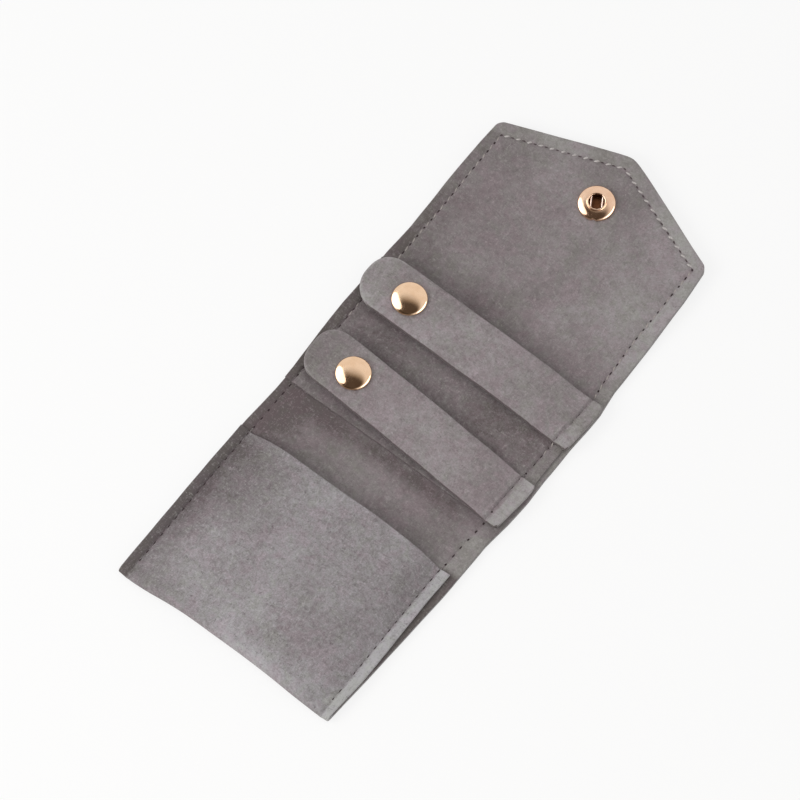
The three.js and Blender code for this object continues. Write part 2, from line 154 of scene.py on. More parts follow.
def tipY(x):
    offset = np.hypot(x - halfWidth, pouch["apexRadius"]) - pouch["apexRadius"]
    fromSide = np.clip((halfWidth - np.abs(x - halfWidth)) / pouch["shoulderRadius"], 0, 1)
    rounding = pouch["shoulderRadius"] * (1 - np.sqrt(1 - (1 - fromSide) ** 2))
    lowerLeft, leftX = pouch["skewLeft"]
    lowerRight, rightX = pouch["skewRight"]
    skew = lowerRight * smooth(x, rightX, pouch["width"]) + lowerLeft * (1 - smooth(x, 0.0, leftX))
    point = pouch["shoulderY"] + pouch["flapRise"] * (1 - offset / halfWidth) + pouch["apexLift"]
    return point - rounding - skew


def wander(t, phase):
    long, short = pouch["wobbleWaves"]
    return pouch["wobble"] * (np.sin(t / long + phase) + 0.5 * np.sin(t / short + 2.3 * phase)) / 1.5


def bow(y, stops):
    return np.interp(y, [stop for stop, _ in stops], [offset for _, offset in stops])


def stripX(column, y, inset=0.0):
    # where one of the straight strip's columns lies once the sides bow and wander
    share = column / pouch["width"]
    out = column + share**4 * (rightEdge(y) - pouch["width"] - inset + bow(y, pouch["bowRight"]))
    out = out - (1 - share) ** 4 * bow(y, pouch["bowLeft"])
    return out + wander(y, 0.7 + inset) * share**12 + wander(y, 4.0 + inset) * (1 - share) ** 12


def seamRight(y):
    return seamRightX + bow(y, pouch["seamRight"])


def beyondTip(x, y):
    # distance outside the stitches along the flap's point
    tipLine = cornerY + tipSlope * (halfWidth - seams["inset"] - np.abs(x - halfWidth))
    return (y - tipLine) / tipRun


def seamOffset(x, y):
    return np.maximum(np.maximum(seamLeftX - x, x - seamRight(y)), beyondTip(x, y))


def stackScale(x, y):
    # the thread draws the layers together: a puckered groove with lips, and flatter margins
    d = seamOffset(x, y)
    groove = bell(d, seams["grooveWidth"])
    lips = bell(np.abs(d) - seams["lipOffset"], seams["grooveWidth"])
    run = np.where(y > cornerY + 0.5, np.abs(x - seamLeftX) * tipRun, cornerY - y)
    pucker = np.cos(2 * np.pi * run / seams["pitch"]) * bell(d, seams["puckerWidth"])
    pressed = seams["press"] * smooth(d, *seams["pressRun"])
    return 1 - pressed - seams["groove"] * groove + seams["lips"] * lips - seams["pucker"] * pucker


def shellLow(x, y):
    overCap = snaps["flapHump"] * smooth(y, rampHighY - snaps["rampRun"], rampHighY)
    cx, cy = snaps["pocket"]
    reach = (np.abs(x - cx) ** 4 + np.abs(y - cy) ** 4) ** 0.25
    overStud = 1 - smooth(reach, snaps["humpFlat"], snaps["humpFlat"] + snaps["humpRun"])
    return overCap + snaps["pocketHump"] * overStud


def swell(x, y):
    wave = np.sin(x / 9.3 + 0.6 * np.sin(y / 17.0)) * np.sin(y / 12.7 + 0.8)
    wave = wave + 0.5 * np.sin(x / 5.1 + y / 7.9)
    height = pouch["swell"] * smooth(-seamOffset(x, y), 0.0, pouch["swellInset"])
    for name in ("flap", "earring", "ring", "pocket"):
        cx, cy = snaps[name]
        height = height * smooth(np.hypot(x - cx, y - cy), *pouch["swellRing"])
    return height * (0.5 + wave / 3.0)


def curl(x, y):
    return pouch["curl"] * smooth(seamOffset(x, y), *pouch["curlRun"])


def layered(x, y, height):
    # z of a layer that is this high above the table where the strip lies flat
    low = np.maximum(0, 1 - height / pouch["shell"])
    drawn = pouch["pinch"] * bell(seamOffset(x, y), pouch["pinchWidth"]) * low
    return shellLow(x, y) + height * stackScale(x, y) + swell(x, y) + curl(x, y) + drawn


def edgeDrop(distance, radius):
    d = np.clip(distance, 0, radius)
    return radius - np.sqrt(radius**2 - (radius - d) ** 2)


def fromEdges(x, toEnd=np.inf):
    # distance from a sheet's cut sides and ends, for one row of points or for many
    return np.minimum(np.minimum(x - x[..., :1], x[..., -1:] - x), toEnd)


def surface(x, y, z):
    return np.stack(np.broadcast_arrays(x, y, z), -1)


def linkPiece(name, mesh):
    piece = bpy.data.objects.new(name, mesh)
    bpy.context.collection.objects.link(piece)
    return piece


def finishMesh(name, points, faces, cloth=None, shades=None, angle=48):
    mesh = bpy.data.meshes.new(name)
    mesh.from_pydata([tuple(p) for p in toRow(points)], [], faces)
    work = bmesh.new()
    work.from_mesh(mesh)
    bmesh.ops.recalc_face_normals(work, faces=work.faces)
    work.to_mesh(mesh)
    work.free()
    mesh.shade_smooth()
    mesh.set_sharp_from_angle(angle=math.radians(angle))
    if cloth is not None:
        attribute = mesh.attributes.new("cloth", "FLOAT_VECTOR", "POINT")
        attribute.data.foreach_set("vector", (np.asarray(cloth, float) / 1000.0).astype(np.float32).ravel())
    for key, values in (shades or {}).items():
        mesh.attributes.new(key, "FLOAT", "POINT").data.foreach_set("value", values.astype(np.float32))
    return linkPiece(name, mesh)


def closedSheet(name, upper, lower, clothUpper, clothLower, tone, green):
    # two grids of points joined round their rim, with the place of each point in the cloth
    rows, columnCount, _ = upper.shape
    layer = rows * columnCount
    index = np.arange(layer).reshape(rows, columnCount)
    quads = np.stack([index[:-1, :-1], index[:-1, 1:], index[1:, 1:], index[1:, :-1]], -1).reshape(-1, 4)
    rim = np.concatenate([index[0, :], index[1:, -1], index[-1, -2::-1], index[-2:0:-1, 0]])
    after = np.roll(rim, -1)
    sides = np.stack([rim, rim + layer, after + layer, after], -1)
    faces = np.vstack([quads, quads[:, ::-1] + layer, sides])
    points = np.vstack([upper.reshape(-1, 3), lower.reshape(-1, 3)])
    cloth = np.vstack([clothUpper.reshape(-1, 3), clothLower.reshape(-1, 3)])
    shades = {"tone": np.tile(tone.ravel(), 2), "olive": np.tile(green.ravel(), 2)}
    return finishMesh(name, points, faces.tolist(), cloth, shades)


# rows and columns that round off a cut edge
nearEdge = [0, 0.06, 0.18, 0.36]
farEdge = [-step for step in reversed(nearEdge)]
columns = ticks(nearEdge + [5.6, 63.6] + [pouch["width"] + step for step in farEdge],
                [0.1, 0.15, 0.2, 0.44, 1.0, 0.44, 0.2, 0.15, 0.1])
otherFace = 40.0  # how far apart in the cloth's pattern a sheet's two faces are
margins = {
    "band": 0.7,  # the painted light and shade of the margins change over this distance outside the stitches
    # painted light and shade on each margin, how much lighter it is made: the right one and the flap's point
    # lighter, as if turned to the light, the left one darker, as if turned from it; the left one changes
    # along y
    "tip": 0.06,
    "right": 0.07,
    "left": (-0.24, -0.04),
    "leftRun": (40.0, 175.0),
}


def marginLightAndShade(x, y, rightMarginLight=margins["right"]):
    # painted light on the right margin and the flap's point, painted shade on the left margin
    tip = smooth(beyondTip(x, y), 0.0, margins["band"])
    right = smooth(x - seamRight(y), 0.0, margins["band"]) * (1 - tip)
    left = smooth(seamLeftX - x, 0.0, margins["band"]) * (1 - tip)
    low, high = margins["left"]
    leftTone = low + (high - low) * smooth(y, *margins["leftRun"])
    return rightMarginLight * right + margins["tip"] * tip + leftTone * left


def paintedShading(x, y, patches):
    # painted light and shade in soft patches, where a region is made lighter or darker for how the light
    # falls on it: (x, y, reach in x, reach in y, tone)
    return sum(amount * bell(x - px, rx) * bell(y - py, ry) for px, py, rx, ry, amount in patches)


def olive(x, y):
    # the margins' hue is a little greener
    return smooth(seamOffset(x, y), 0.0, 0.8)


def flatSheet(name, x, y, low, high, distance, shift, tone):
    drop = edgeDrop(distance, pouch["edgeRound"])
    upper = surface(x, y, layered(x, y, high) - drop)
    lower = surface(x, y, layered(x, y, low) + drop)
    return closedSheet(name, upper, lower, surface(x, y, shift + high),
                       surface(x, y, shift + low - otherFace), tone, olive(x, y))


upperStrip = {
    "rowStep": 0.8,
    "middleRows": 25,
    "tipDepth": 5.0,  # from here on the rows follow the flap's point, at these distances from it
    "tipRows": np.array([4.6, 4.2, 3.8, 3.4, 3.0, 2.6, 2.2, 1.8, 1.4, 1.0, 0.65, 0.36, 0.18, 0.06, 0.0]),
}
liningShift = 7.0
# patches of painted shade and light on the lining: mostly darker below the strap panel, near the straps, near
# the pocket's mouth and at the left, standing in for the shade there, with a few lighter ones
liningShadingPatches = [
    (3, 66, 9, 12, -0.24), (70, 70, 5, 5, 0.12), (36, 72, 60, 4, -0.19), (36, 62, 60, 8, -0.05),
    (38, 125, 60, 6, -0.09), (2, 125, 9, 8, -0.03), (7, 145, 14, 22, -0.085), (66, 148, 12, 24, 0.03),
    (37, 150, 7, 14, 0.03), (77, 84, 3, 12, -0.13), (77.5, 109, 3, 8, -0.08),
]


def buildUpperSheets():
    tip = tipY(columns) + wander(columns, 2.0)
    straight = ticks([pouch["splitY"], rampHighY], [upperStrip["rowStep"]])[:, None] + 0 * columns
    share = np.linspace(0, 1, upperStrip["middleRows"] + 1)[1:, None]
    middle = rampHighY + share * (tip - upperStrip["tipDepth"] - rampHighY)
    y = np.vstack([straight, middle, tip - upperStrip["tipRows"][:, None]])
    x = stripX(columns, y)
    distance = fromEdges(x, (tip - y) / tipRun)
    # painted light and shade on the margins, and patches of it on the lining
    tone = marginLightAndShade(x, y)
    shell = flatSheet("upper_shell", x, y, 0.0, pouch["shell"], distance, 0.0, tone)
    tone = tone + paintedShading(x, y, liningShadingPatches)
    lining = flatSheet("upper_lining", x, y, liningLow, liningTop, distance, liningShift, tone)
    return shell, lining


lowerStrip = {
    "rowStep": 0.8,
    "liningEndY": 2.6,  # the lining stops just inside the fold
    # painted shadow: beside the pocket front's edge the lining is made darker, standing in for the shadow
    # that edge casts
    "besideShadow": -0.23,
    "besideReach": 1.2,
    "besideTopY": 57.0,
    "besideFade": 2.5,
    # painted light on the strip's right margin
    "rightMarginLight": 0.09,
}
pocketFront = {
    "mouthY": 55.0,
    "thickness": 0.8,
    "mouthGape": 4.7,
    "foldGape": 2.6,
    "gapeRunY": 26.0,
    "crownPower": 5.0,
    "seamFlat": 1.7,
    "noseDepth": 2.2,
    "foldSteps": 18,
    "rightInset": 2.05,  # how far the front's right edge stands in from the shell's at the mouth
    "rightInsetRun": (10.0, 50.0),
    "puff": 0.35,
    # the puffed middle draws the fold in: (x, reach, how far), and its left end stands out
    "foldPull": (35.0, 21.0, 1.0),
    "foldBulge": (8.0, 6.0, 0.3),
    "curl": 0.3,
    "curlRun": (0.3, 2.4),
    "mouthRows": 6.0,  # the last rows before the mouth lie closer together
    "rowSteps": [0.75, 0.5, 0.2, 0.2, 0.1],
    "foldCloth": 5.5,  # how much cloth the fold takes on its outer side
    # painted light on the front's right margin, lighter than on the strip
    "rightMarginLight": 0.165,
    # patches of painted light and shade on the front: darker at its left, lighter near the fold, standing in
    # for how the puffed front lies to the light
    "shadingPatches": [
        (2, 25, 8, 30, -0.19), (5, 50, 5, 5, -0.13), (1, 38, 3, 12, -0.07), (12, 44, 8, 10, -0.11),
        (60, 18, 14, 12, -0.055), (28, 42, 12, 10, 0.03), (26, 14, 12, 10, 0.05), (51, 2, 13, 4, 0.12),
        (64, 46, 9, 13, -0.05),
    ],
}
frontTop = liningTop + pouch["layerGap"] + pocketFront["thickness"]


def gape(column, y):
    # how far the pocket's front stands off the lining
    flat = pocketFront["seamFlat"]
    across = np.clip((column - seamLeftX - flat) / (seamRightX - seamLeftX - 2 * flat), 0, 1)
    crown = 1 - np.abs(2 * across - 1) ** pocketFront["crownPower"]
    along = smooth(y, 0, pocketFront["gapeRunY"])
    wave = np.sin(column / 7.7 + 1.1) * np.sin(y / 9.1 + 0.4) + 0.6 * np.sin(column / 4.3 - y / 6.1)
    rise = pocketFront["foldGape"] + (pocketFront["mouthGape"] - pocketFront["foldGape"]) * along
    return crown * (rise + pocketFront["puff"] * wave * along)


def frontCurl(x, y):
    return pocketFront["curl"] * smooth(seamOffset(x, y), *pocketFront["curlRun"])


def buildLowerLining():
    low = lowerStrip["liningEndY"]
    ends = [low + step for step in nearEdge] + [pouch["splitY"]]
    y = ticks(ends, [0.1, 0.2, 0.2, lowerStrip["rowStep"]])[:, None]
    x = stripX(columns, y)
    # painted shadow beside the pocket front's edge, on top of the margins' and the patches' painted light and
    # shade
    beside = smooth(x - seamRight(y), 0.0, lowerStrip["besideReach"])
    beside = beside * smooth(lowerStrip["besideTopY"] - y, 0.0, lowerStrip["besideFade"])
    tone = marginLightAndShade(x, y) + paintedShading(x, y, liningShadingPatches) + lowerStrip["besideShadow"] * beside
    return flatSheet("lower_lining", x, y, liningLow, liningTop, fromEdges(x, y - low), liningShift, tone)


def frontOlive(x, y, front):
    # the front is a little greener in its middle and near the fold, and less so at its right edge
    green = olive(x, y) * (1 - 0.3 * front * smooth(x, 60.0, 66.0))
    return green + 0.12 * front * smooth(x, 14.0, 34.0) + 0.5 * front * (1 - smooth(y, 3.0, 11.0))


def buildLowerShell():
    # the shell turns round the bottom fold and becomes the pocket's front
    nose, mouth, thin = pocketFront["noseDepth"], pocketFront["mouthY"], pocketFront["thickness"]
    # each row holds x, then y and z outside, y and z inside, the place along the cloth, the
    # y that its tone is taken at, and how much of it is pocket front
    rows = []
    for y in ticks([pouch["splitY"], nose], [lowerStrip["rowStep"]]):
        x = stripX(columns, y)
        drop = edgeDrop(fromEdges(x), pouch["edgeRound"])
        outside = layered(x, y, 0.0) + drop
        inside = layered(x, y, pouch["shell"]) - drop
        rows.append(np.broadcast_arrays(x, y, outside, y, inside, y, y, 0.0))

    pullX, pullReach, pull = pocketFront["foldPull"]
    bulgeX, bulgeReach, bulge = pocketFront["foldBulge"]
    drawn = pull * np.exp(-(((columns - pullX) / pullReach) ** 4))
    drawn = drawn - bulge * bell(columns - bulgeX, bulgeReach)
    x = stripX(columns, nose)
    scale = stackScale(x, nose)
    middle = (frontTop + gape(columns, nose)) / 2
    drop = edgeDrop(fromEdges(x), pouch["edgeRound"])
    for k in range(1, pocketFront["foldSteps"]):
        share = k / pocketFront["foldSteps"]
        across, up = math.sin(math.pi * share), math.cos(math.pi * share)
        thick = pouch["shell"] + (thin - pouch["shell"]) * share
        lift = curl(x, nose) + (1 - up) / 2 * frontCurl(x, nose)
        start = nose + (drawn + wander(columns, 5.0)) * across
        row = [x]
        for depth in (drop, thick - drop):
            row += [start - (nose - depth) * across, (middle - (middle - depth) * up) * scale + lift]
        rows.append(np.broadcast_arrays(*row, nose - pocketFront["foldCloth"] * share, nose, share))

    ends = [nose, mouth - pocketFront["mouthRows"]] + [mouth + step for step in farEdge]
    for place in ticks(ends, pocketFront["rowSteps"]):
        y = place + wander(columns, 1.0) * (place - nose) / (mouth - nose)
        x = stripX(columns, y, pocketFront["rightInset"] * smooth(place, *pocketFront["rightInsetRun"]))
        drop = edgeDrop(fromEdges(x, mouth - place), pouch["edgeRound"])
        top = frontTop + gape(columns, y)
        scale = stackScale(x, y)
        lift = curl(x, y) + frontCurl(x, y)
        outside = top * scale + lift - drop
        inside = (top - thin) * scale + lift + drop
        along = nose - pocketFront["foldCloth"] - (place - nose)
        rows.append(np.broadcast_arrays(x, y, outside, y, inside, along, y, 1.0))

    x, yOut, zOut, yIn, zIn, along, toneY, front = np.array(rows).transpose(1, 0, 2)
    # painted light and shade: the right margin lighter on the front than on the strip, and the front's
    # patches
    rightMarginLight = lowerStrip["rightMarginLight"] + (pocketFront["rightMarginLight"] - lowerStrip["rightMarginLight"]) * front
    tone = marginLightAndShade(x, toneY, rightMarginLight) + front * paintedShading(x, toneY, pocketFront["shadingPatches"])
    green = frontOlive(x, toneY, front)
    return closedSheet("lower_shell_and_pocket_front", surface(x, yOut, zOut), surface(x, yIn, zIn),
                       surface(x, along, 0.0), surface(x, along, -otherFace), tone, green)


strapPanel = {
    "lowY": 74.0,
    "highY": 119.5,
    "thickness": 0.8,
    "rightInset": 1.2,
    "shift": 23.0,
    # painted light: a lighter band along the panel's lower edge (x, y, reach in x, reach in y, tone)
    "shadingPatches": [(36, 76, 60, 3, 0.05)],
    # painted shade on the cut side along the panel's lower edge, which faces the pocket
    "cutSideShade": -0.25,
}
panelLow = liningTop + pouch["layerGap"]
panelTop = panelLow + strapPanel["thickness"]


def buildStrapPanel():
    low, high = strapPanel["lowY"], strapPanel["highY"]
    ends = [low + step for step in nearEdge] + [high + step for step in farEdge]
    y = ticks(ends, [0.1, 0.2, 0.2, 0.8, 0.2, 0.2, 0.1])[:, None]
    x = stripX(columns, y, strapPanel["rightInset"])
    distance = fromEdges(x, np.minimum(y - low, high - y))
    # painted shade on the cut side along the lower edge, with the margins' and the band's painted light and
    # shade
    cut = strapPanel["cutSideShade"] * (1 - smooth(y - low, 0.02, 0.2))
    y = y + wander(x, 3.0)
    tone = marginLightAndShade(x, y) + paintedShading(x, y, strapPanel["shadingPatches"]) + cut
    return flatSheet("strap_panel_suede", x, y, panelLow, panelTop, distance, strapPanel["shift"], tone)


straps = {
    "width": 16.8,
    "thickness": 1.4,
    "snapLow": 5.7,
    "rootLow": 3.0,
    "hingeX": 69.5,
    "flatReach": 7.2,
    "edgeRound": 0.34,
    "cornerRound": 0.5,  # the sewn end's corners
    "columns": 57,
    "endRows": np.array([0, 0.05, 0.15, 0.3, 0.5, 0.8, 1.2, 1.7, 2.3, 3.0]),
    "bandRows": 83,
    "sewnRun": (67.5, 70.0),  # the strap comes to lie on the strap panel between these x
    "seamRun": (67.0, 69.5),  # and takes on the seam's groove and curl between these
    "dimple": (0.1, 4.6, 7.6),  # the cap presses in: how deep, and the radii where that ends
    "wave": (0.22, 8.0, 20.0),  # soft waves: how high, and the distances where they begin
    "cup": (0.28, 7.0, 12.0),  # hanging long sides: how low, and the distances where they begin
    # painted highlight on the round end's cut edge
    "rimHighlight": 0.07,
    "cutSideShade": -0.38,  # painted shade on the cut side that faces the pocket
    "earring": {
        "endX": -0.7,
        "slope": 0.0,
        "roundness": (2.1, 2.5),  # of the free end's lower and upper half
        "cloth": 300.0,
        "overhang": 0.05,
        "flare": 0.1,
        "bandStart": 0.0,
        # painted light on the band outside the stitches at the sewn end, and patches of painted light and
        # shade along the strap
        "bandLight": 0.03,
        "shadingPatches": [(2, 112, 8, 12, 0.03), (24, 112, 8, 12, 0.03), (64, 112, 9, 12, -0.03)],
    },
    "ring": {
        "endX": 1.1,
        "slope": -0.054,
        "roundness": (2.6, 2.6),
        "cloth": 500.0,
        "overhang": -0.75,
        "flare": 0.5,
        "bandStart": 0.7,
        # painted light on the band outside the stitches at the sewn end, and patches of painted light and
        # shade along the strap
        "bandLight": 0.09,
        "shadingPatches": [(2, 86, 11, 12, -0.11), (64, 84, 10, 12, -0.05), (48, 84, 10, 10, 0.02)],
    },
}


def strapLow(name, x):
    # level over the snap, then down to the root and onto the strap panel
    flatX = snaps[name][0] + straps["flatReach"]
    u = np.clip((x - flatX) / (straps["hingeX"] - flatX), 0, 1)
    free = straps["rootLow"] + (straps["snapLow"] - straps["rootLow"]) * (1 - u**2)
    sewn = panelTop + pouch["layerGap"]
    return free + (sewn - straps["rootLow"]) * smooth(x, *straps["sewnRun"])


def strapOutline(name):
    # the free end is cut round and the sewn end follows the pouch's side
    facts = straps[name]
    cx, cy = snaps[name]
    hingeX = straps["hingeX"]
    half = straps["width"] / 2
    side = np.sin(np.linspace(-1, 1, straps["columns"]) * np.pi / 2)
    across = np.abs(side)
    power = np.where(side < 0, *facts["roundness"])
    startX = facts["endX"] + half * (1 - (1 - across**power) ** (1 / power))
    near = startX + straps["endRows"][:, None]
    far = near[-1] + np.linspace(0, 1, straps["bandRows"] + 1)[1:, None] * (hingeX - near[-1])
    hingeY = cy + facts["slope"] * (hingeX - cx) + side * half
    endX = rightEdge(hingeY) + bow(hingeY, pouch["bowRight"]) + facts["overhang"] + facts["flare"] * side
    reach = endX - straps["cornerRound"] * across**8 - hingeX
    sewnShare = np.concatenate([np.linspace(0, 0.93, 13)[1:], [0.96, 0.985, 1.0]])
    x = np.vstack([near, far, hingeX + sewnShare[:, None] * reach])
    y = cy + facts["slope"] * (x - cx) + side * half
    y = y + wander(x, 1.7 + facts["slope"] * 9) * across**6 * 0.8
    ahead = np.clip(1 - (x - facts["endX"]) / half, 0, 1)
    radial = half * (1 - (ahead**power + across**power) ** (1 / power))
    distance = np.minimum(np.where(ahead > 0, radial, half * (1 - across)), x[-1] - x)
    return x, y, side, distance


def buildStrap(name):
    facts = straps[name]
    cx, cy = snaps[name]
    x, y, side, distance = strapOutline(name)
    drop = edgeDrop(distance, straps["edgeRound"])
    onSeam = smooth(x, *straps["seamRun"])
    scale = 1 + (stackScale(x, y) - 1) * onSeam
    fromSnap = np.hypot(x - cx, y - cy)
    depth, *run = straps["dimple"]
    dimple = depth * (1 - smooth(fromSnap, *run))
    height, *run = straps["wave"]
    wave = height * smooth(fromSnap, *run) * (1 - onSeam)
    wave = wave * (np.sin(x / 6.3 + cy) + 0.5 * np.sin(x / 3.1 + side * 1.3))
    depth, *run = straps["cup"]
    cup = depth * np.abs(side) ** 4 * smooth(fromSnap, *run) * (1 - onSeam)
    low = strapLow(name, x) + wave - cup
    lift = onSeam * (curl(x, y) + 0.5 * frontCurl(x, y))
    upper = surface(x, y, (low + straps["thickness"]) * scale + lift - drop - dimple)
    lower = surface(x, y, low * scale + lift + drop)
    outside = smooth(x - seamRight(y), facts["bandStart"], facts["bandStart"] + 0.6)
    # painted light on the band outside the stitches, a painted highlight on the round end's cut edge, and
    # painted shade on the cut side that faces the pocket
    rim = (1 - smooth(distance, 0.1, 1.0)) * (1 - smooth(x, 4.0, 12.0))
    cut = (1 - smooth(distance, 0.02, 0.2)) * (side < -0.9) * smooth(x, 4.0, 9.0)
    tone = facts["bandLight"] * outside + straps["rimHighlight"] * rim + straps["cutSideShade"] * cut
    tone = tone + paintedShading(x, y, facts["shadingPatches"])
    green = np.maximum(outside, 0.7 * (1 - smooth(x, 3.0, 12.0)))
    shift = facts["cloth"]
    return closedSheet(name + "_strap_suede", upper, lower, surface(x + shift, y, shift),
                       surface(x + shift, y, shift - otherFace), tone, green)


hardware = {
    "segments": 72,
    "capRadius": 5.15,
    "capHeight": 1.75,
    "capRoundness": 2.15,
    "capEdge": 0.36,  # height of the dome's lower edge
    # the edge is rolled in: (share of the radius, height)
    "capRim": [(0.995, 0.28), (0.975, 0.2), (0.93, 0.14), (0.9, 0.0)],
    "capTube": (1.4, 1.0),  # radius and length
    "flapCapHeight": 1.58,  # this one lies on the table
    "socketRadius": 5.4,
    "socketHeight": 2.05,
    "rimHeight": 0.5,
    "flangeRise": 1.28,
    "flangeShares": (1.0, 0.995, 0.98, 0.955, 0.92, 0.875, 0.82, 0.76, 0.7, 0.64, 0.58),
    "collarRadius": 2.78,
    "mouthRadius": 2.3,
    "grooveRadius": 2.62,
    "grooveLow": 1.12,
    "grooveHigh": 1.7,
    "boreRadius": 1.7,
    "floorHeight": 0.1,
    "notchAngle": -63.0,
    "notchWidth": 7.0,
    "notchDepth": 0.35,
    "notchRadius": 4.7,  # it cuts only what lies further out
    "studFlangeRadius": 4.5,
    "studHeight": 2.18,  # on the pocket, where it reaches down to the table
    "strapStudHeight": 2.75,
    "studNeckTop": 1.76,  # the spring grips below this
    "studBulbRadius": 1.95,
    "studNeckRadius": 1.2,
    "postRadius": 4.0,
    "postFlange": 0.3,
    "postShank": (0.7, 1.2),  # radius and length
    "wireRadius": 0.25,
    "wireSpan": 1.6,
    "wireTurn": 31.0,
    "wireSteps": 12,
    "wireSides": 12,
}


def smoothProfile(points, steps):
    # a Catmull-Rom curve through the points
    p = np.array(points, float)
    out = []
    for i in range(len(p) - 1):
        a, b = p[max(i - 1, 0)], p[i]
        c, d = p[i + 1], p[min(i + 2, len(p) - 1)]
        for t in np.arange(steps) / steps:
            bend = (2 * a - 5 * b + 4 * c - d) * t**2 + (3 * b - a - 3 * c + d) * t**3
            out.append(0.5 * (2 * b + (c - a) * t + bend))
    return [tuple(point) for point in out + [p[-1]]]


def turned(name, profile, place, flip=False, notch=False):
    cx, cy, cz = place
    count = hardware["segments"]
    points, faces, rings = [], [], []
    for r, z in profile:
        z = cz - z if flip else cz + z
        if r < 1e-6:
            rings.append([len(points)] * count)
            points.append((cx, cy, z))
            continue
        rings.append(list(range(len(points), len(points) + count)))
        for k in range(count):
            angle = 2 * math.pi * k / count
            cut = 0.0
            if notch and r > hardware["notchRadius"]:
                away = (math.degrees(angle) - hardware["notchAngle"] + 180) % 360 - 180
                cut = hardware["notchDepth"] * max(0.0, 1 - (away / hardware["notchWidth"]) ** 2)
            points.append((cx + (r - cut) * math.cos(angle), cy + (r - cut) * math.sin(angle), z))
    for a, b in zip(rings, rings[1:]):
        for k in range(count):
            n = (k + 1) % count
            # at the axis two corners are one point
            face = list(dict.fromkeys([a[k], a[n], b[n], b[k]]))
            if len(face) > 2:
                faces.append(face)
    return finishMesh(name, points, faces, angle=40)


def buildCap(name, place, flip, height):
    radius, power, edge = hardware["capRadius"], 2 / hardware["capRoundness"], hardware["capEdge"]
    tube, length = hardware["capTube"]
    profile = []
    for angle in np.linspace(0, math.pi / 2, 19):
        z = edge + (height - edge) * math.cos(angle) ** power
        profile.append((radius * math.sin(angle) ** power, z))
    profile += [(radius * share, z) for share, z in hardware["capRim"]]
    return turned(name, profile + [(tube, 0.0), (tube, -length), (0.0, -length)], place, flip)


def buildSocket(name, place, flip, notch=False):
    radius, height, floor = hardware["socketRadius"], hardware["socketHeight"], hardware["floorHeight"]
    mouth, groove, collar = hardware["mouthRadius"], hardware["grooveRadius"], hardware["collarRadius"]
    low, high = hardware["grooveLow"], hardware["grooveHigh"]
    # a domed flange that sinks a little round the collar
    outer = [(radius * 0.955, 0.0), (radius * 0.99, 0.08)]
    for share in hardware["flangeShares"]:
        rise = hardware["flangeRise"] * (1 - share**2.6) ** 0.42
        rise = rise - 0.06 * bell(share * radius - collar, 0.3)
        outer.append((radius * share, hardware["rimHeight"] + rise))
    outer += [(collar + 0.05, height - 0.4), (collar + 0.02, height - 0.3), (collar - 0.04, height - 0.14),
              (collar - 0.11, height - 0.03), (collar - 0.21, height), (mouth + 0.14, height - 0.03),
              (mouth + 0.04, height - 0.11), (mouth, height - 0.26)]
    inner = [(mouth, high), (groove, high), (groove, low), (mouth, low), (mouth, floor + 0.02),
             (hardware["boreRadius"], floor), (0.0, floor), (0.0, 0.02), (radius * 0.9, 0.0),
             (radius * 0.955, 0.0)]
    socket = turned(name, smoothProfile(outer, 3) + inner, place, flip, notch)
    # painted shade: the inside of the mouth takes a dark brass, standing in for the shade deep in the socket
    centre = Vector(toRow([place])[0])
    for face in socket.data.polygons:
        offset = (face.center - centre) * 1000
        if 0.01 < abs(offset.z) < high + 0.02 and math.hypot(offset.x, offset.y) < groove + 0.02:
            face.material_index = 1
    return socket


def buildStud(name, place, flip, height):
    flange, bulb, neck = hardware["studFlangeRadius"], hardware["studBulbRadius"], hardware["studNeckRadius"]
    neckTop = hardware["studNeckTop"]
    foot = [(flange * 0.97, 0.0), (flange, 0.12), (flange * 0.985, 0.3), (flange * 0.93, 0.42),
            (flange * 0.75, 0.46), (flange * 0.5, 0.5), (neck + 0.25, 0.58), (neck + 0.04, 0.75),
            (neck, 0.95), (neck, neckTop)]
    # the head's heights are shares of what stands above the neck
    head = [(neck + 0.12, 0.07), (bulb - 0.35, 0.17), (bulb - 0.06, 0.33), (bulb, 0.5), (bulb - 0.07, 0.76),
            (bulb * 0.82, 0.92), (bulb * 0.6, 1.0), (bulb * 0.5, 0.95), (bulb * 0.42, 0.7), (bulb * 0.2, 0.6),
            (0.0, 0.58)]
    head = [(r, neckTop + share * (height - neckTop)) for r, share in head]
    return turned(name, [(0.0, 0.0)] + smoothProfile(foot + head, 3), place, flip)


def buildPost(name, place, flip):
    radius, rise = hardware["postRadius"], hardware["postFlange"]
    shank, length = hardware["postShank"]
    disc = [(0.0, rise - 0.02), (radius * 0.3, rise), (radius * 0.8, rise), (radius * 0.93, rise * 0.92),
            (radius * 0.99, rise * 0.6), (radius, rise * 0.25), (radius * 0.98, 0.0)]
    profile = smoothProfile(disc, 4) + [(shank, 0.0), (shank, -length), (0.0, -length)]
    return turned(name, profile, place, flip)


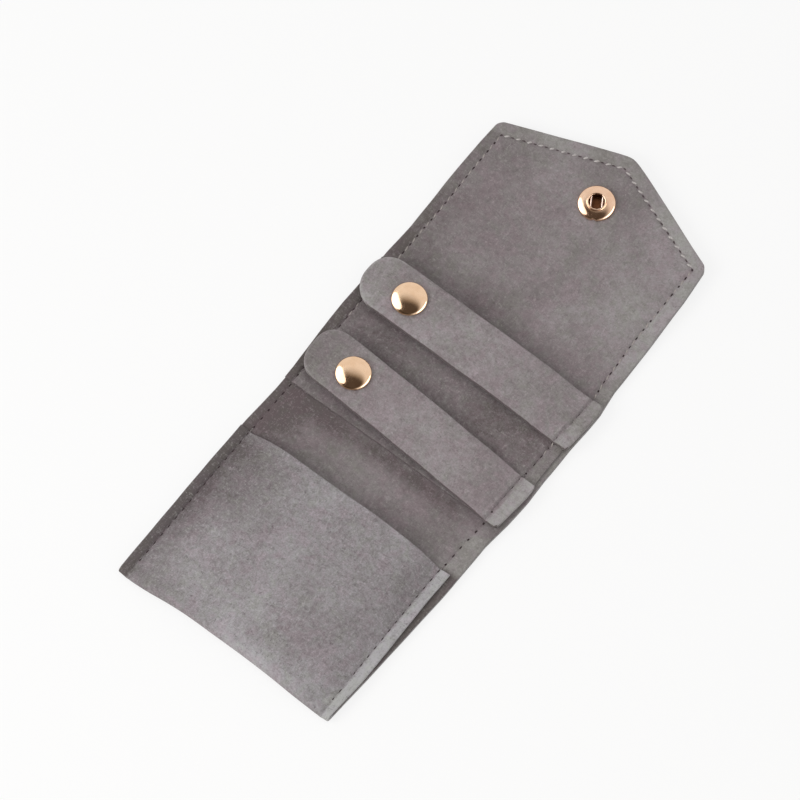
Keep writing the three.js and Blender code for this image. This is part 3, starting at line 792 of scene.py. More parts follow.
def buildSpring(name, place, flip):
    # one wire bent like a hairpin, whose two legs cross the mouth and grip the stud's neck
    span, radius, sides = hardware["wireSpan"], hardware["wireRadius"], hardware["wireSides"]
    reach = hardware["grooveRadius"] - radius - 0.05
    level = (hardware["grooveLow"] + hardware["grooveHigh"]) / 2
    leg = math.sqrt(reach**2 - span**2)
    steps = np.linspace(0, 1, hardware["wireSteps"])
    a, b = math.atan2(-leg, -span), math.atan2(-leg, span)
    path = [(-span, leg * (1 - 2 * t)) for t in steps]
    path += [(reach * math.cos(a + (b - a) * t), reach * math.sin(a + (b - a) * t)) for t in steps[1:-1]]
    path += [(span, leg * (2 * t - 1)) for t in steps]
    turn = math.radians(hardware["wireTurn"])
    sine, cosine = math.sin(turn), math.cos(turn)
    path = [(x * cosine - y * sine, x * sine + y * cosine) for x, y in path]
    cx, cy, cz = place
    cz = cz - level if flip else cz + level
    points, faces = [], []
    for i, (x, y) in enumerate(path):
        before, after = path[max(i - 1, 0)], path[min(i + 1, len(path) - 1)]
        dx, dy = after[0] - before[0], after[1] - before[1]
        size = math.hypot(dx, dy)
        for k in range(sides):
            angle = 2 * math.pi * k / sides
            out = radius * math.cos(angle)
            points.append((cx + x - dy / size * out, cy + y + dx / size * out, cz + radius * math.sin(angle)))
    for i in range(len(path) - 1):
        for k in range(sides):
            n = (k + 1) % sides
            faces.append([i * sides + k, i * sides + n, (i + 1) * sides + n, (i + 1) * sides + k])
    faces += [list(range(sides)), list(range((len(path) - 1) * sides, len(path) * sides))]
    return finishMesh(name, points, faces, angle=60)


def linear(code):
    channels = [int(code[i : i + 2], 16) / 255 for i in (1, 3, 5)]
    return tuple(c / 12.92 if c <= 0.04045 else ((c + 0.055) / 1.055) ** 2.4 for c in channels) + (1.0,)


def addNode(tree, kind, inputs=None, stops=(), **settings):
    # an input takes a value, another node's output, or a node, which gives its first output
    node = tree.nodes.new(kind)
    for key, value in settings.items():
        setattr(node, key, value)
    for key, value in (inputs or {}).items():
        if isinstance(value, bpy.types.Node):
            value = value.outputs[0]
        if isinstance(value, bpy.types.NodeSocket):
            tree.links.new(value, node.inputs[key])
        else:
            node.inputs[key].default_value = value
    # a colour ramp's stops are pairs of position and colour
    for _ in stops[2:]:
        node.color_ramp.elements.new(0.5)
    for element, (position, colour) in zip(node.color_ramp.elements if stops else (), stops):
        element.position = position
        element.color = colour
    return node


def newMaterial(name):
    material = bpy.data.materials.new(name)
    material.use_nodes = True
    material.node_tree.nodes.clear()
    return material, material.node_tree


noTurn = ((1, 1, 1), 0.0)
suedeLook = {
    "dark": "#645b5b",
    "mid": "#8b8484",
    "pale": "#b0abac",
    "fibreLight": "#c4bdbc",
    "fibreDark": "#544c4c",
    "hues": ("#fff6fb", "#fafafa", "#f5fbf3"),
    # each pattern's size in mm, detail, roughness, distortion, place, stretch and turn
    "patterns": {
        "patch": (24.0, 2.0, 0.5, 0.6, (0, 0, 0), *noTurn),  # where a hand has brushed the nap
        "mottle": (4.5, 4.0, 0.6, 1.2, (0.3, 0.1, 0), *noTurn),
        "speck": (1.6, 3.0, 0.65, 0.8, (0.9, 0.2, 0), *noTurn),
        "grain": (0.42, 1.0, 0.5, 0.5, (0.6, 0.6, 0.1), *noTurn),
        # two sets of fibres that cross; real ones are ten times finer, drawn as coarse as they show
        "fibre": (0.75, 2.0, 0.6, 1.4, (0.2, 0.7, 0), (0.45, 1.2, 1.0), 0.6),
        "crossFibre": (0.75, 2.0, 0.6, 1.4, (0.5, 0.4, 0), (1.2, 0.45, 1.0), 0.5),
        "hue": (3.4, 1.6, 0.55, 0.8, (0.4, 0.9, 0.2), *noTurn),
        "wideHue": (17.0, 2.0, 0.5, 0.7, (0.8, 0.3, 0.6), *noTurn),
    },
    # how much each pattern adds to the tone; the finer two follow the piece's grain
    "broadTones": {"patch": 0.26, "mottle": 0.14},
    "fineTones": {"speck": 0.22, "grain": 0.14},
    # fibres that stand out: colour, slope and offset of their mask, and strength
    "fibreMasks": [("fibreLight", 5.0, -2.65, 0.4), ("fibreDark", -5.0, 2.3, 0.6)],
}


def suedeMaterial(name, lift=0.0, grain=1.0, hues=suedeLook["hues"]):
    # Microsuede, a brushed polyester microfibre: no gloss, a soft bloom at grazing angles,
    # and a nap that lies in lighter and darker patches.
    material, tree = newMaterial(name)
    cloth = addNode(tree, "ShaderNodeAttribute", attribute_name="cloth").outputs["Vector"]
    # the tone attribute carries the painted light and shade laid on each piece
    tone = addNode(tree, "ShaderNodeAttribute", attribute_name="tone").outputs["Fac"]
    green = addNode(tree, "ShaderNodeAttribute", attribute_name="olive").outputs["Fac"]
    made = {}
    for key, (size, detail, rough, warp, place, stretch, turn) in suedeLook["patterns"].items():
        mapped = addNode(tree, "ShaderNodeMapping", {
            "Vector": cloth, "Location": place, "Rotation": (0, 0, turn), "Scale": stretch})
        made[key] = addNode(tree, "ShaderNodeTexNoise", {
            "Vector": mapped, "Scale": 1000.0 / size, "Detail": detail, "Roughness": rough,
            "Distortion": warp})

    shares = dict(suedeLook["broadTones"])
    for key, share in suedeLook["fineTones"].items():
        shares[key] = share * grain
    for key, share in shares.items():
        tone = addNode(tree, "ShaderNodeMath", {0: made[key], 1: share, 2: tone}, operation="MULTIPLY_ADD")
    # the finer patterns swing both ways from their middle
    level = lift + 0.3 - 0.5 * grain * sum(suedeLook["fineTones"].values())
    tone = addNode(tree, "ShaderNodeMath", {0: tone, 1: level}, operation="ADD")
    colour = addNode(tree, "ShaderNodeValToRGB", {0: tone}, [
        (0.3, linear(suedeLook["dark"])), (0.5, linear(suedeLook["mid"])), (0.7, linear(suedeLook["pale"]))])
    fibres = addNode(tree, "ShaderNodeMath", {0: made["fibre"], 1: made["crossFibre"]}, operation="ADD")
    fibres = addNode(tree, "ShaderNodeMath", {0: fibres, 1: 0.5}, operation="MULTIPLY")
    for shade, slope, offset, strength in suedeLook["fibreMasks"]:
        mask = addNode(tree, "ShaderNodeMath", {0: fibres, 1: slope, 2: offset}, operation="MULTIPLY_ADD")
        mask = addNode(tree, "ShaderNodeMath", {0: mask, 1: 0.0}, operation="MAXIMUM")
        mask = addNode(tree, "ShaderNodeMath", {0: mask, 1: 1.0, 2: 0.1}, operation="SMOOTH_MIN")
        mask = addNode(tree, "ShaderNodeMath", {0: mask, 1: strength * grain}, operation="MULTIPLY")
        colour = addNode(tree, "ShaderNodeMix", {0: mask, 6: colour, 7: linear(suedeLook[shade])},
                         data_type="RGBA").outputs[2]

    # faint drift between purple and green grey
    hue = addNode(tree, "ShaderNodeMath", {0: made["hue"], 1: 0.75, 2: -0.125}, operation="MULTIPLY_ADD")
    hue = addNode(tree, "ShaderNodeMath", {0: green, 1: 0.13, 2: hue}, operation="MULTIPLY_ADD")
    hue = addNode(tree, "ShaderNodeMath", {0: made["wideHue"], 1: 0.5, 2: hue}, operation="MULTIPLY_ADD")
    tint = addNode(tree, "ShaderNodeValToRGB", {0: hue}, [
        (place, linear(code)) for place, code in zip((0.36, 0.54, 0.7), hues)])
    colour = addNode(tree, "ShaderNodeMix", {0: 0.8, 6: colour, 7: tint}, data_type="RGBA",
                     blend_type="MULTIPLY").outputs[2]
    height = addNode(tree, "ShaderNodeMath", {0: made["mottle"], 1: 0.6}, operation="MULTIPLY")
    height = addNode(tree, "ShaderNodeMath", {0: fibres, 1: 0.7, 2: height}, operation="MULTIPLY_ADD")
    bump = addNode(tree, "ShaderNodeBump", {"Strength": 0.55, "Distance": 0.00022, "Height": height})
    shader = addNode(tree, "ShaderNodeBsdfPrincipled", {
        "Base Color": colour, "Normal": bump, "Roughness": 0.93, "Specular IOR Level": 0.18,
        "Sheen Weight": 0.22, "Sheen Roughness": 0.45, "Sheen Tint": linear("#d8d0d0")})
    addNode(tree, "ShaderNodeOutputMaterial", {"Surface": shader})
    return material


threadLook = {"fibreSize": 0.3846, "bump": 0.5, "bumpDepth": 0.00008}
holeLook = {"grainSize": 0.3333}
metalLook = {
    "hazeSize": 2.381,
    "hairlineSize": 0.4167,
    "bumpDepth": 0.00002,
    # the haze's range, as shares of the metal's roughness
    "smoothest": 0.8,
    "dullest": 1.3,
}


def speckledMaterial(name, size, detail, low, high):
    # a material with fine noise, its size in mm, and a colour that follows the noise
    material, tree = newMaterial(name)
    coords = addNode(tree, "ShaderNodeTexCoord").outputs["Object"]
    noise = addNode(tree, "ShaderNodeTexNoise", {
        "Vector": coords, "Scale": 1000.0 / size, "Detail": detail})
    colour = addNode(tree, "ShaderNodeValToRGB", {0: noise}, [(0.3, linear(low)), (0.7, linear(high))])
    return material, tree, coords, noise, colour


def threadMaterial(name, low, high):
    # Spun polyester sewing thread: matte, with the fine uneven shading of its twisted fibres.
    material, tree, _, fibres, colour = speckledMaterial(name, threadLook["fibreSize"], 2.0, low, high)
    bump = addNode(tree, "ShaderNodeBump", {
        "Strength": threadLook["bump"], "Distance": threadLook["bumpDepth"], "Height": fibres})
    shader = addNode(tree, "ShaderNodeBsdfPrincipled", {
        "Base Color": colour, "Normal": bump, "Roughness": 0.75, "Specular IOR Level": 0.3,
        "Sheen Weight": 0.15})
    addNode(tree, "ShaderNodeOutputMaterial", {"Surface": shader})
    return material


def needleHoleMaterial(name, low, high):
    # The shaded mouth of a needle hole in suede: dark, with the suede's warm hue.
    material, tree, _, _, colour = speckledMaterial(name, holeLook["grainSize"], 1.0, low, high)
    shader = addNode(tree, "ShaderNodeBsdfPrincipled", {
        "Base Color": colour, "Roughness": 1.0, "Specular IOR Level": 0.0})
    addNode(tree, "ShaderNodeOutputMaterial", {"Surface": shader})
    return material


def metalMaterial(name, low, high, roughness, scratch):
    # Stamped and drawn metal: a mirror with the faintest hairlines and haze where it is plated
    # and tumbled; the duller, darker copy inside the socket is painted shade.
    material, tree, coords, haze, colour = speckledMaterial(name, metalLook["hazeSize"], 3.0, low, high)
    hairlines = addNode(tree, "ShaderNodeTexNoise", {
        "Vector": coords, "Scale": 1000.0 / metalLook["hairlineSize"], "Detail": 2.0})
    rough = addNode(tree, "ShaderNodeMapRange", {
        "Value": haze, "From Min": 0.3, "From Max": 0.7, "To Min": roughness * metalLook["smoothest"],
        "To Max": roughness * metalLook["dullest"]})
    bump = addNode(tree, "ShaderNodeBump", {
        "Strength": scratch, "Distance": metalLook["bumpDepth"], "Height": hairlines})
    shader = addNode(tree, "ShaderNodeBsdfPrincipled", {
        "Base Color": colour, "Metallic": 1.0, "Roughness": rough, "Normal": bump})
    addNode(tree, "ShaderNodeOutputMaterial", {"Surface": shader})
    return material


suede = suedeMaterial("microsuede_shell", 0.03, 1.3, ("#fcf6fd", "#f6fafc", "#f3fbf5"))
suedeLining = suedeMaterial("microsuede_lining", -0.01, 0.85)
# the strap panel's suede is made darker: painted shade between and under the straps
shadedPanelSuede = suedeMaterial("microsuede_strap_panel_shaded", -0.14)
suedeStrap = suedeMaterial("microsuede_strap", 0.01, 0.95)
thread = threadMaterial("spun_polyester_thread", "#aca5a2", "#c8c3c0")
# darker copies of the same thread, painted shade where it lies sunk in the seams: a little darker along the
# upper seams, more along the lower ones
shadedSideThread = threadMaterial("spun_polyester_thread_sides_shaded", "#8f8783", "#ada59f")
shadedDrawnThread = threadMaterial("spun_polyester_thread_drawn_in_shaded", "#6f6766", "#948c8a")
needleHole = needleHoleMaterial("needle_hole_shade", "#332b2c", "#4b4243")
shallowHole = needleHoleMaterial("needle_hole_shade_shallow", "#4a4142", "#625859")
roseGold = metalMaterial("rose_gold_plated_brass", "#e8c4a2", "#f2d2b3", 0.12, 0.1)
roseSocket = metalMaterial("rose_gold_plated_brass_socket", "#e5bea1", "#efceb4", 0.14, 0.1)
springWire = metalMaterial("plated_spring_wire", "#ecd0c0", "#f6e2d6", 0.2, 0.1)
# painted shade: a dark, dull brass for the inside of the socket
shadedBrass = metalMaterial("brass_inside_socket_painted_shade", "#5c3a27", "#7a5138", 0.5, 0.2)
print("materials made")

stitches = {
    # the pocket's tight seams show little thread, the flap's sides more, and its slanted edges pale slanted
    # bits;
    # the side seams take darker copies of the thread, painted shade where it sinks in; a hole's size is its
    # length, width and height
    "side": {"radius": 0.17, "span": 0.66, "arch": 0.03, "sink": 0.22, "slant": 0.12,
             "hole": (0.66, 0.52, 0.12), "thread": shadedDrawnThread, "shade": needleHole},
    "flap": {"radius": 0.24, "span": 0.56, "arch": 0.12, "sink": 0.22, "slant": 0.24,
             "hole": (0.58, 0.42, 0.12), "thread": shadedSideThread, "shade": needleHole},
    "tip": {"radius": 0.31, "span": 0.43, "arch": 0.22, "sink": 0.26, "slant": 0.42,
            "hole": (0.56, 0.36, 0.12), "thread": thread, "shade": shallowHole},
    "under": {"radius": 0.2, "span": 0.78, "arch": 0.1, "sink": 0.2, "slant": 0.08,
              "hole": (0.42, 0.32, 0.12), "thread": thread, "shade": needleHole},
    # how far a stitch is turned about each axis at random, and the range of its size
    "jitter": (0.07, 0.05, 0.09),
    "sizes": (0.9, 1.08),
    "lowestY": 3.4,
    "standOff": 0.02,
}


def stitchSizes(look):
    # the lengths that the stitches' node tree takes, in metres
    length, width, height = look["hole"]
    sizes = {
        "Stitch Length": seams["pitch"] * look["span"],
        "Thread Radius": look["radius"],
        "Arch": look["arch"],
        "Sink": look["sink"],
        "Slant": look["slant"],
        "Hole Length": length,
        "Hole Width": width,
        "Hole Height": height,
    }
    return {key: size / 1000.0 for key, size in sizes.items()}


def stitchTree():
    tree = bpy.data.node_groups.new("lockstitch_row", "GeometryNodeTree")
    sockets = [("Geometry", "Geometry")] + [(name, "Float") for name in stitchSizes(stitches["side"])]
    for name, kind in sockets + [("Seed", "Int"), ("Thread", "Material"), ("Hole", "Material")]:
        tree.interface.new_socket(name, in_out="INPUT", socket_type="NodeSocket" + kind)
    tree.interface.new_socket("Geometry", in_out="OUTPUT", socket_type="NodeSocketGeometry")
    start = addNode(tree, "NodeGroupInput").outputs

    # one stitch: an arc of thread that dips into the cloth at both ends
    half = addNode(tree, "ShaderNodeMath", {0: start["Stitch Length"], 1: 0.5}, operation="MULTIPLY")
    down = addNode(tree, "ShaderNodeMath", {0: start["Sink"], 1: -1.0}, operation="MULTIPLY")
    rise = addNode(tree, "ShaderNodeMath", {0: start["Arch"], 1: 2.0}, operation="MULTIPLY")
    end = addNode(tree, "ShaderNodeCombineXYZ", {"X": half, "Y": start["Slant"], "Z": down})
    begin = addNode(tree, "ShaderNodeVectorMath", {0: end, 1: (-1, -1, 1)}, operation="MULTIPLY")
    middle = addNode(tree, "ShaderNodeCombineXYZ", {"Z": rise})
    arc = addNode(tree, "GeometryNodeCurveQuadraticBezier", {
        "Resolution": 8, "Start": begin, "Middle": middle, "End": end})
    ring = addNode(tree, "GeometryNodeCurvePrimitiveCircle", {
        "Resolution": 7, "Radius": start["Thread Radius"]})
    body = addNode(tree, "GeometryNodeCurveToMesh", {"Curve": arc, "Profile Curve": ring, "Fill Caps": True})
    body = addNode(tree, "GeometryNodeSetShadeSmooth", {0: body})

    # each point of the row carries the step to the next one and the way up
    along = addNode(tree, "GeometryNodeInputNamedAttribute", {"Name": "along"}, data_type="FLOAT_VECTOR")
    up = addNode(tree, "GeometryNodeInputNamedAttribute", {"Name": "up"}, data_type="FLOAT_VECTOR")
    stitched = addNode(tree, "GeometryNodeInputNamedAttribute", {"Name": "stitched"}, data_type="BOOLEAN")
    facing = addNode(tree, "FunctionNodeAlignRotationToVector", {"Vector": along}, axis="X")
    facing = addNode(tree, "FunctionNodeAlignRotationToVector", {"Rotation": facing, "Vector": up},
                     axis="Z", pivot_axis="X")
    most = stitches["jitter"]
    jitter = addNode(tree, "FunctionNodeRandomValue", {
        "Min": tuple(-angle for angle in most), "Max": most, "Seed": start["Seed"]}, data_type="FLOAT_VECTOR")
    turn = addNode(tree, "FunctionNodeRotateRotation", {0: facing, 1: jitter}, rotation_space="LOCAL")
    small, large = stitches["sizes"]
    size = addNode(tree, "FunctionNodeRandomValue", {2: small, 3: large, "Seed": start["Seed"]},
                   data_type="FLOAT").outputs[1]
    halfStep = addNode(tree, "ShaderNodeVectorMath", {0: along, "Scale": 0.5}, operation="SCALE")
    moved = addNode(tree, "GeometryNodeSetPosition", {"Geometry": start["Geometry"], "Offset": halfStep})
    threads = addNode(tree, "GeometryNodeInstanceOnPoints", {
        "Points": moved, "Selection": stitched, "Instance": body, "Rotation": turn, "Scale": size})

    # a dark blob of painted shade at each point, standing in for the needle hole
    extent = addNode(tree, "ShaderNodeCombineXYZ", {
        "X": start["Hole Length"], "Y": start["Hole Width"], "Z": start["Hole Height"]})
    ball = addNode(tree, "GeometryNodeMeshIcoSphere", {"Radius": 1.0, "Subdivisions": 2})
    mouth = addNode(tree, "GeometryNodeTransform", {"Geometry": ball, "Scale": extent})
    mouth = addNode(tree, "GeometryNodeSetShadeSmooth", {0: mouth})
    holes = addNode(tree, "GeometryNodeInstanceOnPoints", {
        "Points": start["Geometry"], "Instance": mouth, "Rotation": facing, "Scale": size})
    joined = addNode(tree, "GeometryNodeJoinGeometry")
    for copies, paint in ((holes, "Hole"), (threads, "Thread")):
        real = addNode(tree, "GeometryNodeRealizeInstances", {0: copies})
        real = addNode(tree, "GeometryNodeSetMaterial", {"Geometry": real, "Material": start[paint]})
        tree.links.new(real.outputs[0], joined.inputs[0])
    addNode(tree, "NodeGroupOutput", {0: joined})
    return tree


def seamHeight(x, y):
    # the top of what the thread goes through
    level = np.full_like(y, liningTop)
    level = np.where((y > strapPanel["lowY"]) & (y < strapPanel["highY"]), panelTop, level)
    level = np.where(y < pocketFront["mouthY"], frontTop, level)
    for name in ("earring", "ring"):
        cx, cy = snaps[name]
        centre = cy + straps[name]["slope"] * (x - cx)
        over = (np.abs(y - centre) < straps["width"] / 2 + 0.1) & (x > halfWidth)
        level = np.where(over, panelTop + pouch["layerGap"] + straps["thickness"], level)
    return level


def sideRun(lowY, highY, right):
    count = int((cornerY - lowY) / seams["pitch"])
    ys = [cornerY - k * seams["pitch"] for k in range(count + 1)]
    return [(float(seamRight(y)) if right else seamLeftX, y) for y in ys if lowY <= y <= highY]


def pointRun():
    across = halfWidth - seamLeftX
    count = round(across * tipRun / seams["pitch"])
    steps = [across * k / count for k in range(count + 1)]
    left = [(seamLeftX + step, cornerY + step * tipSlope) for step in steps]
    return left + [(pouch["width"] - x, y) for x, y in reversed(left[:-1])]


def stationMesh(name, runs, under):
    points, alongs, ups, stitched = [], [], [], []
    for run in runs:
        x, y = np.array(run, float).T
        z = layered(x, y, 0.0) if under else layered(x, y, seamHeight(x, y)) + stitches["standOff"]
        p = np.stack([x, y, z], -1)
        step = np.diff(p, axis=0)
        points += p.tolist()
        alongs += (np.vstack([step, step[-1:]]) / 1000.0).tolist()
        ups += [(0, 0, -1 if under else 1)] * len(p)
        stitched += [True] * (len(p) - 1) + [False]
    mesh = bpy.data.meshes.new(name)
    mesh.from_pydata([tuple(p) for p in toRow(points)], [], [])
    for key, data in (("along", alongs), ("up", ups)):
        attribute = mesh.attributes.new(key, "FLOAT_VECTOR", "POINT")
        attribute.data.foreach_set("vector", np.array(data, np.float32).ravel())
    mesh.attributes.new("stitched", "BOOLEAN", "POINT").data.foreach_set("value", stitched)
    return linkPiece(name, mesh)


def sewSeam(name, runs, kind, seed, tree):
    look = stitches[kind]
    piece = stationMesh(name, runs, kind == "under")
    modifier = piece.modifiers.new("stitches", "NODES")
    modifier.node_group = tree
    values = {**stitchSizes(look), "Seed": seed, "Thread": look["thread"], "Hole": look["shade"]}
    for item in tree.interface.items_tree:
        if item.in_out == "INPUT" and item.name in values:
            modifier[item.identifier] = values[item.name]
    graph = bpy.context.evaluated_depsgraph_get()
    mesh = bpy.data.meshes.new_from_object(piece.evaluated_get(graph))
    mesh.name = name
    piece.modifiers.clear()
    piece.data = mesh
    for spare in ("along", "up", "stitched"):
        if spare in mesh.attributes:
            mesh.attributes.remove(mesh.attributes[spare])
    return piece


def buildSeams():
    split, low = pouch["splitY"], stitches["lowestY"]
    left = sideRun(split, cornerY - 0.1, False)
    right = sideRun(split, cornerY + 0.1, True)
    upper = [list(reversed(left)) + [(seamLeftX, cornerY)], [(seamRightX, cornerY)] + right[1:]]
    lower = [sideRun(low, split, False), sideRun(low, split, True)]
    tree = stitchTree()
    rows = [
        ("upper_seam_stitches", upper, "flap", 3),
        ("flap_tip_stitches", [pointRun()], "tip", 4),
        ("lower_seam_stitches", lower, "side", 5),
        ("upper_seam_stitches_under", upper, "under", 7),
        ("flap_tip_stitches_under", [pointRun()], "under", 8),
        ("lower_seam_stitches_under", lower, "under", 9),
    ]
    return [sewSeam(*row, tree) for row in rows]


def bendFold(piece):
    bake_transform(piece)


def dress(piece, material, slot, *nodes):
    if material is not None:
        piece.data.materials.append(material)
    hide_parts(*nodes)


upperShell, upperLining = buildUpperSheets()
lowerLining = buildLowerLining()
lowerShell = buildLowerShell()
panel = buildStrapPanel()
dress(upperShell, suede, "suede", "back_shell", "flap_shell")
dress(upperLining, suedeLining, "suede", "back_lining", "flap_lining")
dress(lowerShell, suede, "suede", "back_shell", "pocket_shell", "pocket_front")
dress(lowerLining, suedeLining, "suede", "back_lining", "pocket_lining")
dress(panel, shadedPanelSuede, "suede", "strap_panel")
for piece in (upperShell, upperLining):
    bendFold(piece)
for piece in (lowerShell, lowerLining):
    bendFold(piece)
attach(panel, "back")
print("sheets made")

for name in ("earring", "ring"):
    band = buildStrap(name)
    dress(band, suedeStrap, "suede", name + "_strap", name + "_strap_sewn_end")
    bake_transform(band)
print("straps made")

upperStitches, tipStitches, lowerStitches, upperUnder, tipUnder, lowerUnder = buildSeams()
dress(upperStitches, None, "thread", "flap_seam_thread", "back_left_seam_thread", "back_right_seam_thread")
dress(lowerStitches, None, "thread", "pocket_left_seam_thread", "pocket_right_seam_thread")
for piece in (tipStitches, tipUnder):
    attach(piece, "flap")
for piece in (upperStitches, upperUnder):
    bendFold(piece)
for piece in (lowerStitches, lowerUnder):
    bendFold(piece)
print("seams sewn")


def buildFemaleSnap(name, body, near, fabric, flip, capHeight):
    # the cap stands on the fabric's near face, and the socket and its spring on the far face
    cx, cy = snaps[name]
    sign = -1 if flip else 1
    capPlace = (cx, cy, near - sign * pouch["layerGap"])
    socketPlace = (cx, cy, near + sign * (fabric + pouch["layerGap"]))
    cap = buildCap(name + "_cap_turned", capPlace, not flip, capHeight)
    socket = buildSocket(name + "_socket_turned", socketPlace, flip, name == "flap")
    spring = buildSpring(name + "_spring_wire", socketPlace, flip)
    dress(cap, roseGold, "rose_gold", name + "_snap_cap")
    dress(socket, roseSocket, "rose_gold", name + "_snap_socket")
    socket.data.materials.append(shadedBrass)
    dress(spring, springWire, "spring_wire", name + "_snap_spring")
    for piece in (cap, socket, spring):
        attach(piece, body)


buildFemaleSnap("flap", "flap", snaps["flapHump"], liningTop, False, hardware["flapCapHeight"])
strapTop = straps["snapLow"] + straps["thickness"]
for name in ("earring", "ring"):
    buildFemaleSnap(name, name + "_strap", strapTop, straps["thickness"], True, hardware["capHeight"])
for name in ("earring", "ring"):
    place = (*snaps[name], panelTop + pouch["layerGap"])
    stud = buildStud(name + "_stud_turned", place, False, hardware["strapStudHeight"])
    dress(stud, roseGold, "rose_gold", name + "_snap_stud", name + "_snap_post")
    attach(stud, "back")
# the pocket's stud points down, and its post goes through the strip from above
studPlace = (*snaps["pocket"], snaps["pocketHump"] - pouch["layerGap"])
postPlace = (*snaps["pocket"], snaps["pocketHump"] + liningTop + pouch["layerGap"])
stud = buildStud("pocket_stud_turned", studPlace, True, hardware["studHeight"])
post = buildPost("pocket_post_turned", postPlace, False)
dress(stud, roseGold, "rose_gold", "pocket_snap_stud")
dress(post, roseGold, "rose_gold", "pocket_snap_post")
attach(stud, "pocket")
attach(post, "pocket")
print("snaps made")

camera = {
    "azimuth": 37.93,
    "elevation": 66.56,
    "distance": 4.0,
    "target": (-0.00862, -0.00362, 0.0),
    "field": 0.2226,  # metres across the picture
    "sensor": 36.0,
}
studio = {
    "ambient": 0.6,
    "floorSize": 6.0,
    "floorColour": "#f1f0ee",
    "floorWhite": 0.8,
    "floorDrop": 0.00003,  # just clear of the shell, which lies flat on it
    # Metal mirrors a pale room with a dark patch of ceiling above the photographer and another
    # patch low down in front: azimuth, elevation, and the colour at each angle from the middle.
    "patches": [
        (4.0, 68.0, [(50, (0.95, 0.93, 0.91)), (44.5, (0.74, 0.72, 0.7)), (39, (0.36, 0.32, 0.27)),
                     (33.5, (0.085, 0.066, 0.052))]),
        (15.0, 5.0, [(46, (1.0, 1.0, 1.0)), (34, (0.2, 0.17, 0.14))]),
    ],
    # azimuth, elevation, distance, size and power of each lamp, and which rays meet it
    "lamps": {
        "key_left": (-34, 38, 0.8, (0.42, 0.42), 2.5, "diffuse"),
        "overhead": (60, 72, 1.1, (0.8, 0.8), 1.7, "diffuse"),
        "window_left": (-68, 36, 0.9, (0.96, 1.32), 7.4, "glossy"),
        "low_right": (107, 28, 1.0, (1.3, 0.52), 4.8, "glossy"),
    },
    "tints": {"window_left": "#fffdfa"},
}


def heading(azimuth, elevation):
    # azimuth 0 stands in front of the pocket's fold and 90 at the straps' sewn side
    a, e = math.radians(azimuth), math.radians(elevation)
    return Vector((math.sin(a) * math.cos(e), -math.cos(a) * math.cos(e), math.sin(e)))


def aim(thing, position, target):
    thing.location = position
    thing.rotation_euler = (target - position).to_track_quat("-Z", "Y").to_euler()


def buildCamera():
    data = bpy.data.cameras.new("photo_camera")
    data.sensor_width = camera["sensor"]
    data.lens = camera["sensor"] * camera["distance"] / camera["field"]
    data.clip_start = 0.05
    data.clip_end = 50.0
    thing = linkPiece("photo_camera", data)
    target = Vector(camera["target"])
    aim(thing, target + heading(camera["azimuth"], camera["elevation"]) * camera["distance"], target)
    bpy.context.scene.camera = thing


def addSoftbox(name, azimuth, elevation, distance, size, power, lights):
    data = bpy.data.lights.new(name, "AREA")
    data.shape = "ELLIPSE" if lights == "glossy" else "RECTANGLE"
    data.size, data.size_y = size
    data.energy = power
    data.color = linear(studio["tints"].get(name, "#ffffff"))[:3]
    thing = linkPiece(name, data)
    aim(thing, heading(azimuth, elevation) * distance, Vector())
    thing.visible_camera = False
    thing.visible_glossy = lights == "glossy"
    thing.visible_diffuse = lights == "diffuse"


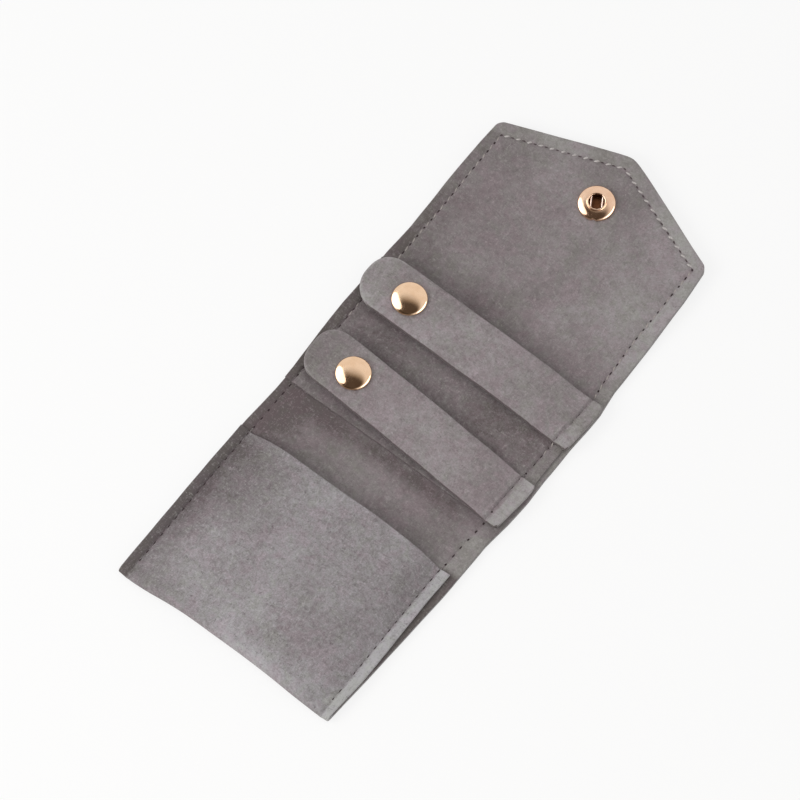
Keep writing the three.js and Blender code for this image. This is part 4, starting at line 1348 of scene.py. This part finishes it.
def buildFloor():
    # A matt white table: nearly pure white to the camera and in mirrors, with soft shadows.
    mesh = bpy.data.meshes.new("floor")
    reach, z = studio["floorSize"], -studio["floorDrop"]
    corners = [(-reach, -reach, z), (reach, -reach, z), (reach, reach, z), (-reach, reach, z)]
    mesh.from_pydata(corners, [], [(0, 1, 2, 3)])
    floor = linkPiece("floor", mesh)
    material, tree = newMaterial("matt_white_table")
    light = addNode(tree, "ShaderNodeLightPath").outputs
    seen = light["Is Camera Ray"]
    for ray in ("Is Glossy Ray", "Is Transmission Ray"):
        seen = addNode(tree, "ShaderNodeMath", {0: seen, 1: light[ray]}, operation="MAXIMUM")
    share = addNode(tree, "ShaderNodeMath", {0: seen, 1: studio["floorWhite"]}, operation="MULTIPLY")
    paint = addNode(tree, "ShaderNodeBsdfDiffuse", {"Color": linear(studio["floorColour"])})
    white = addNode(tree, "ShaderNodeEmission", {"Color": (1, 1, 1, 1), "Strength": 1.0})
    mix = addNode(tree, "ShaderNodeMixShader", {0: share, 1: paint, 2: white})
    addNode(tree, "ShaderNodeOutputMaterial", {"Surface": mix})
    mesh.materials.append(material)


def buildWorld():
    world = bpy.data.worlds.new("studio")
    bpy.context.scene.world = world
    world.use_nodes = True
    tree = world.node_tree
    tree.nodes.clear()
    light = addNode(tree, "ShaderNodeLightPath").outputs
    direction = addNode(tree, "ShaderNodeTexCoord").outputs["Generated"]
    room = (1, 1, 1, 1)
    for azimuth, elevation, reaches in studio["patches"]:
        towards = addNode(tree, "ShaderNodeVectorMath", {0: direction, 1: heading(azimuth, elevation)},
                          operation="DOT_PRODUCT").outputs["Value"]
        patch = addNode(tree, "ShaderNodeValToRGB", {0: towards}, [
            (math.cos(math.radians(reach)), colour + (1,)) for reach, colour in reaches])
        room = addNode(tree, "ShaderNodeMix", {0: 1.0, 6: room, 7: patch}, data_type="RGBA",
                       blend_type="MULTIPLY").outputs[2]
    mirrored = addNode(tree, "ShaderNodeMath", {0: light["Is Glossy Ray"], 1: light["Is Transmission Ray"]},
                       operation="MAXIMUM")
    ambient = addNode(tree, "ShaderNodeBackground", {"Color": (1, 1, 1, 1), "Strength": studio["ambient"]})
    seen = addNode(tree, "ShaderNodeBackground", {"Color": (1, 1, 1, 1), "Strength": 1.0})
    around = addNode(tree, "ShaderNodeBackground", {"Color": room, "Strength": 1.0})
    first = addNode(tree, "ShaderNodeMixShader", {0: mirrored, 1: ambient, 2: around})
    second = addNode(tree, "ShaderNodeMixShader", {0: light["Is Camera Ray"], 1: first, 2: seen})
    addNode(tree, "ShaderNodeOutputWorld", {"Surface": second})


buildCamera()
buildFloor()
buildWorld()
for name, facts in studio["lamps"].items():
    addSoftbox(name, *facts)
bpy.context.scene.view_settings.view_transform = "Standard"
print("studio made")
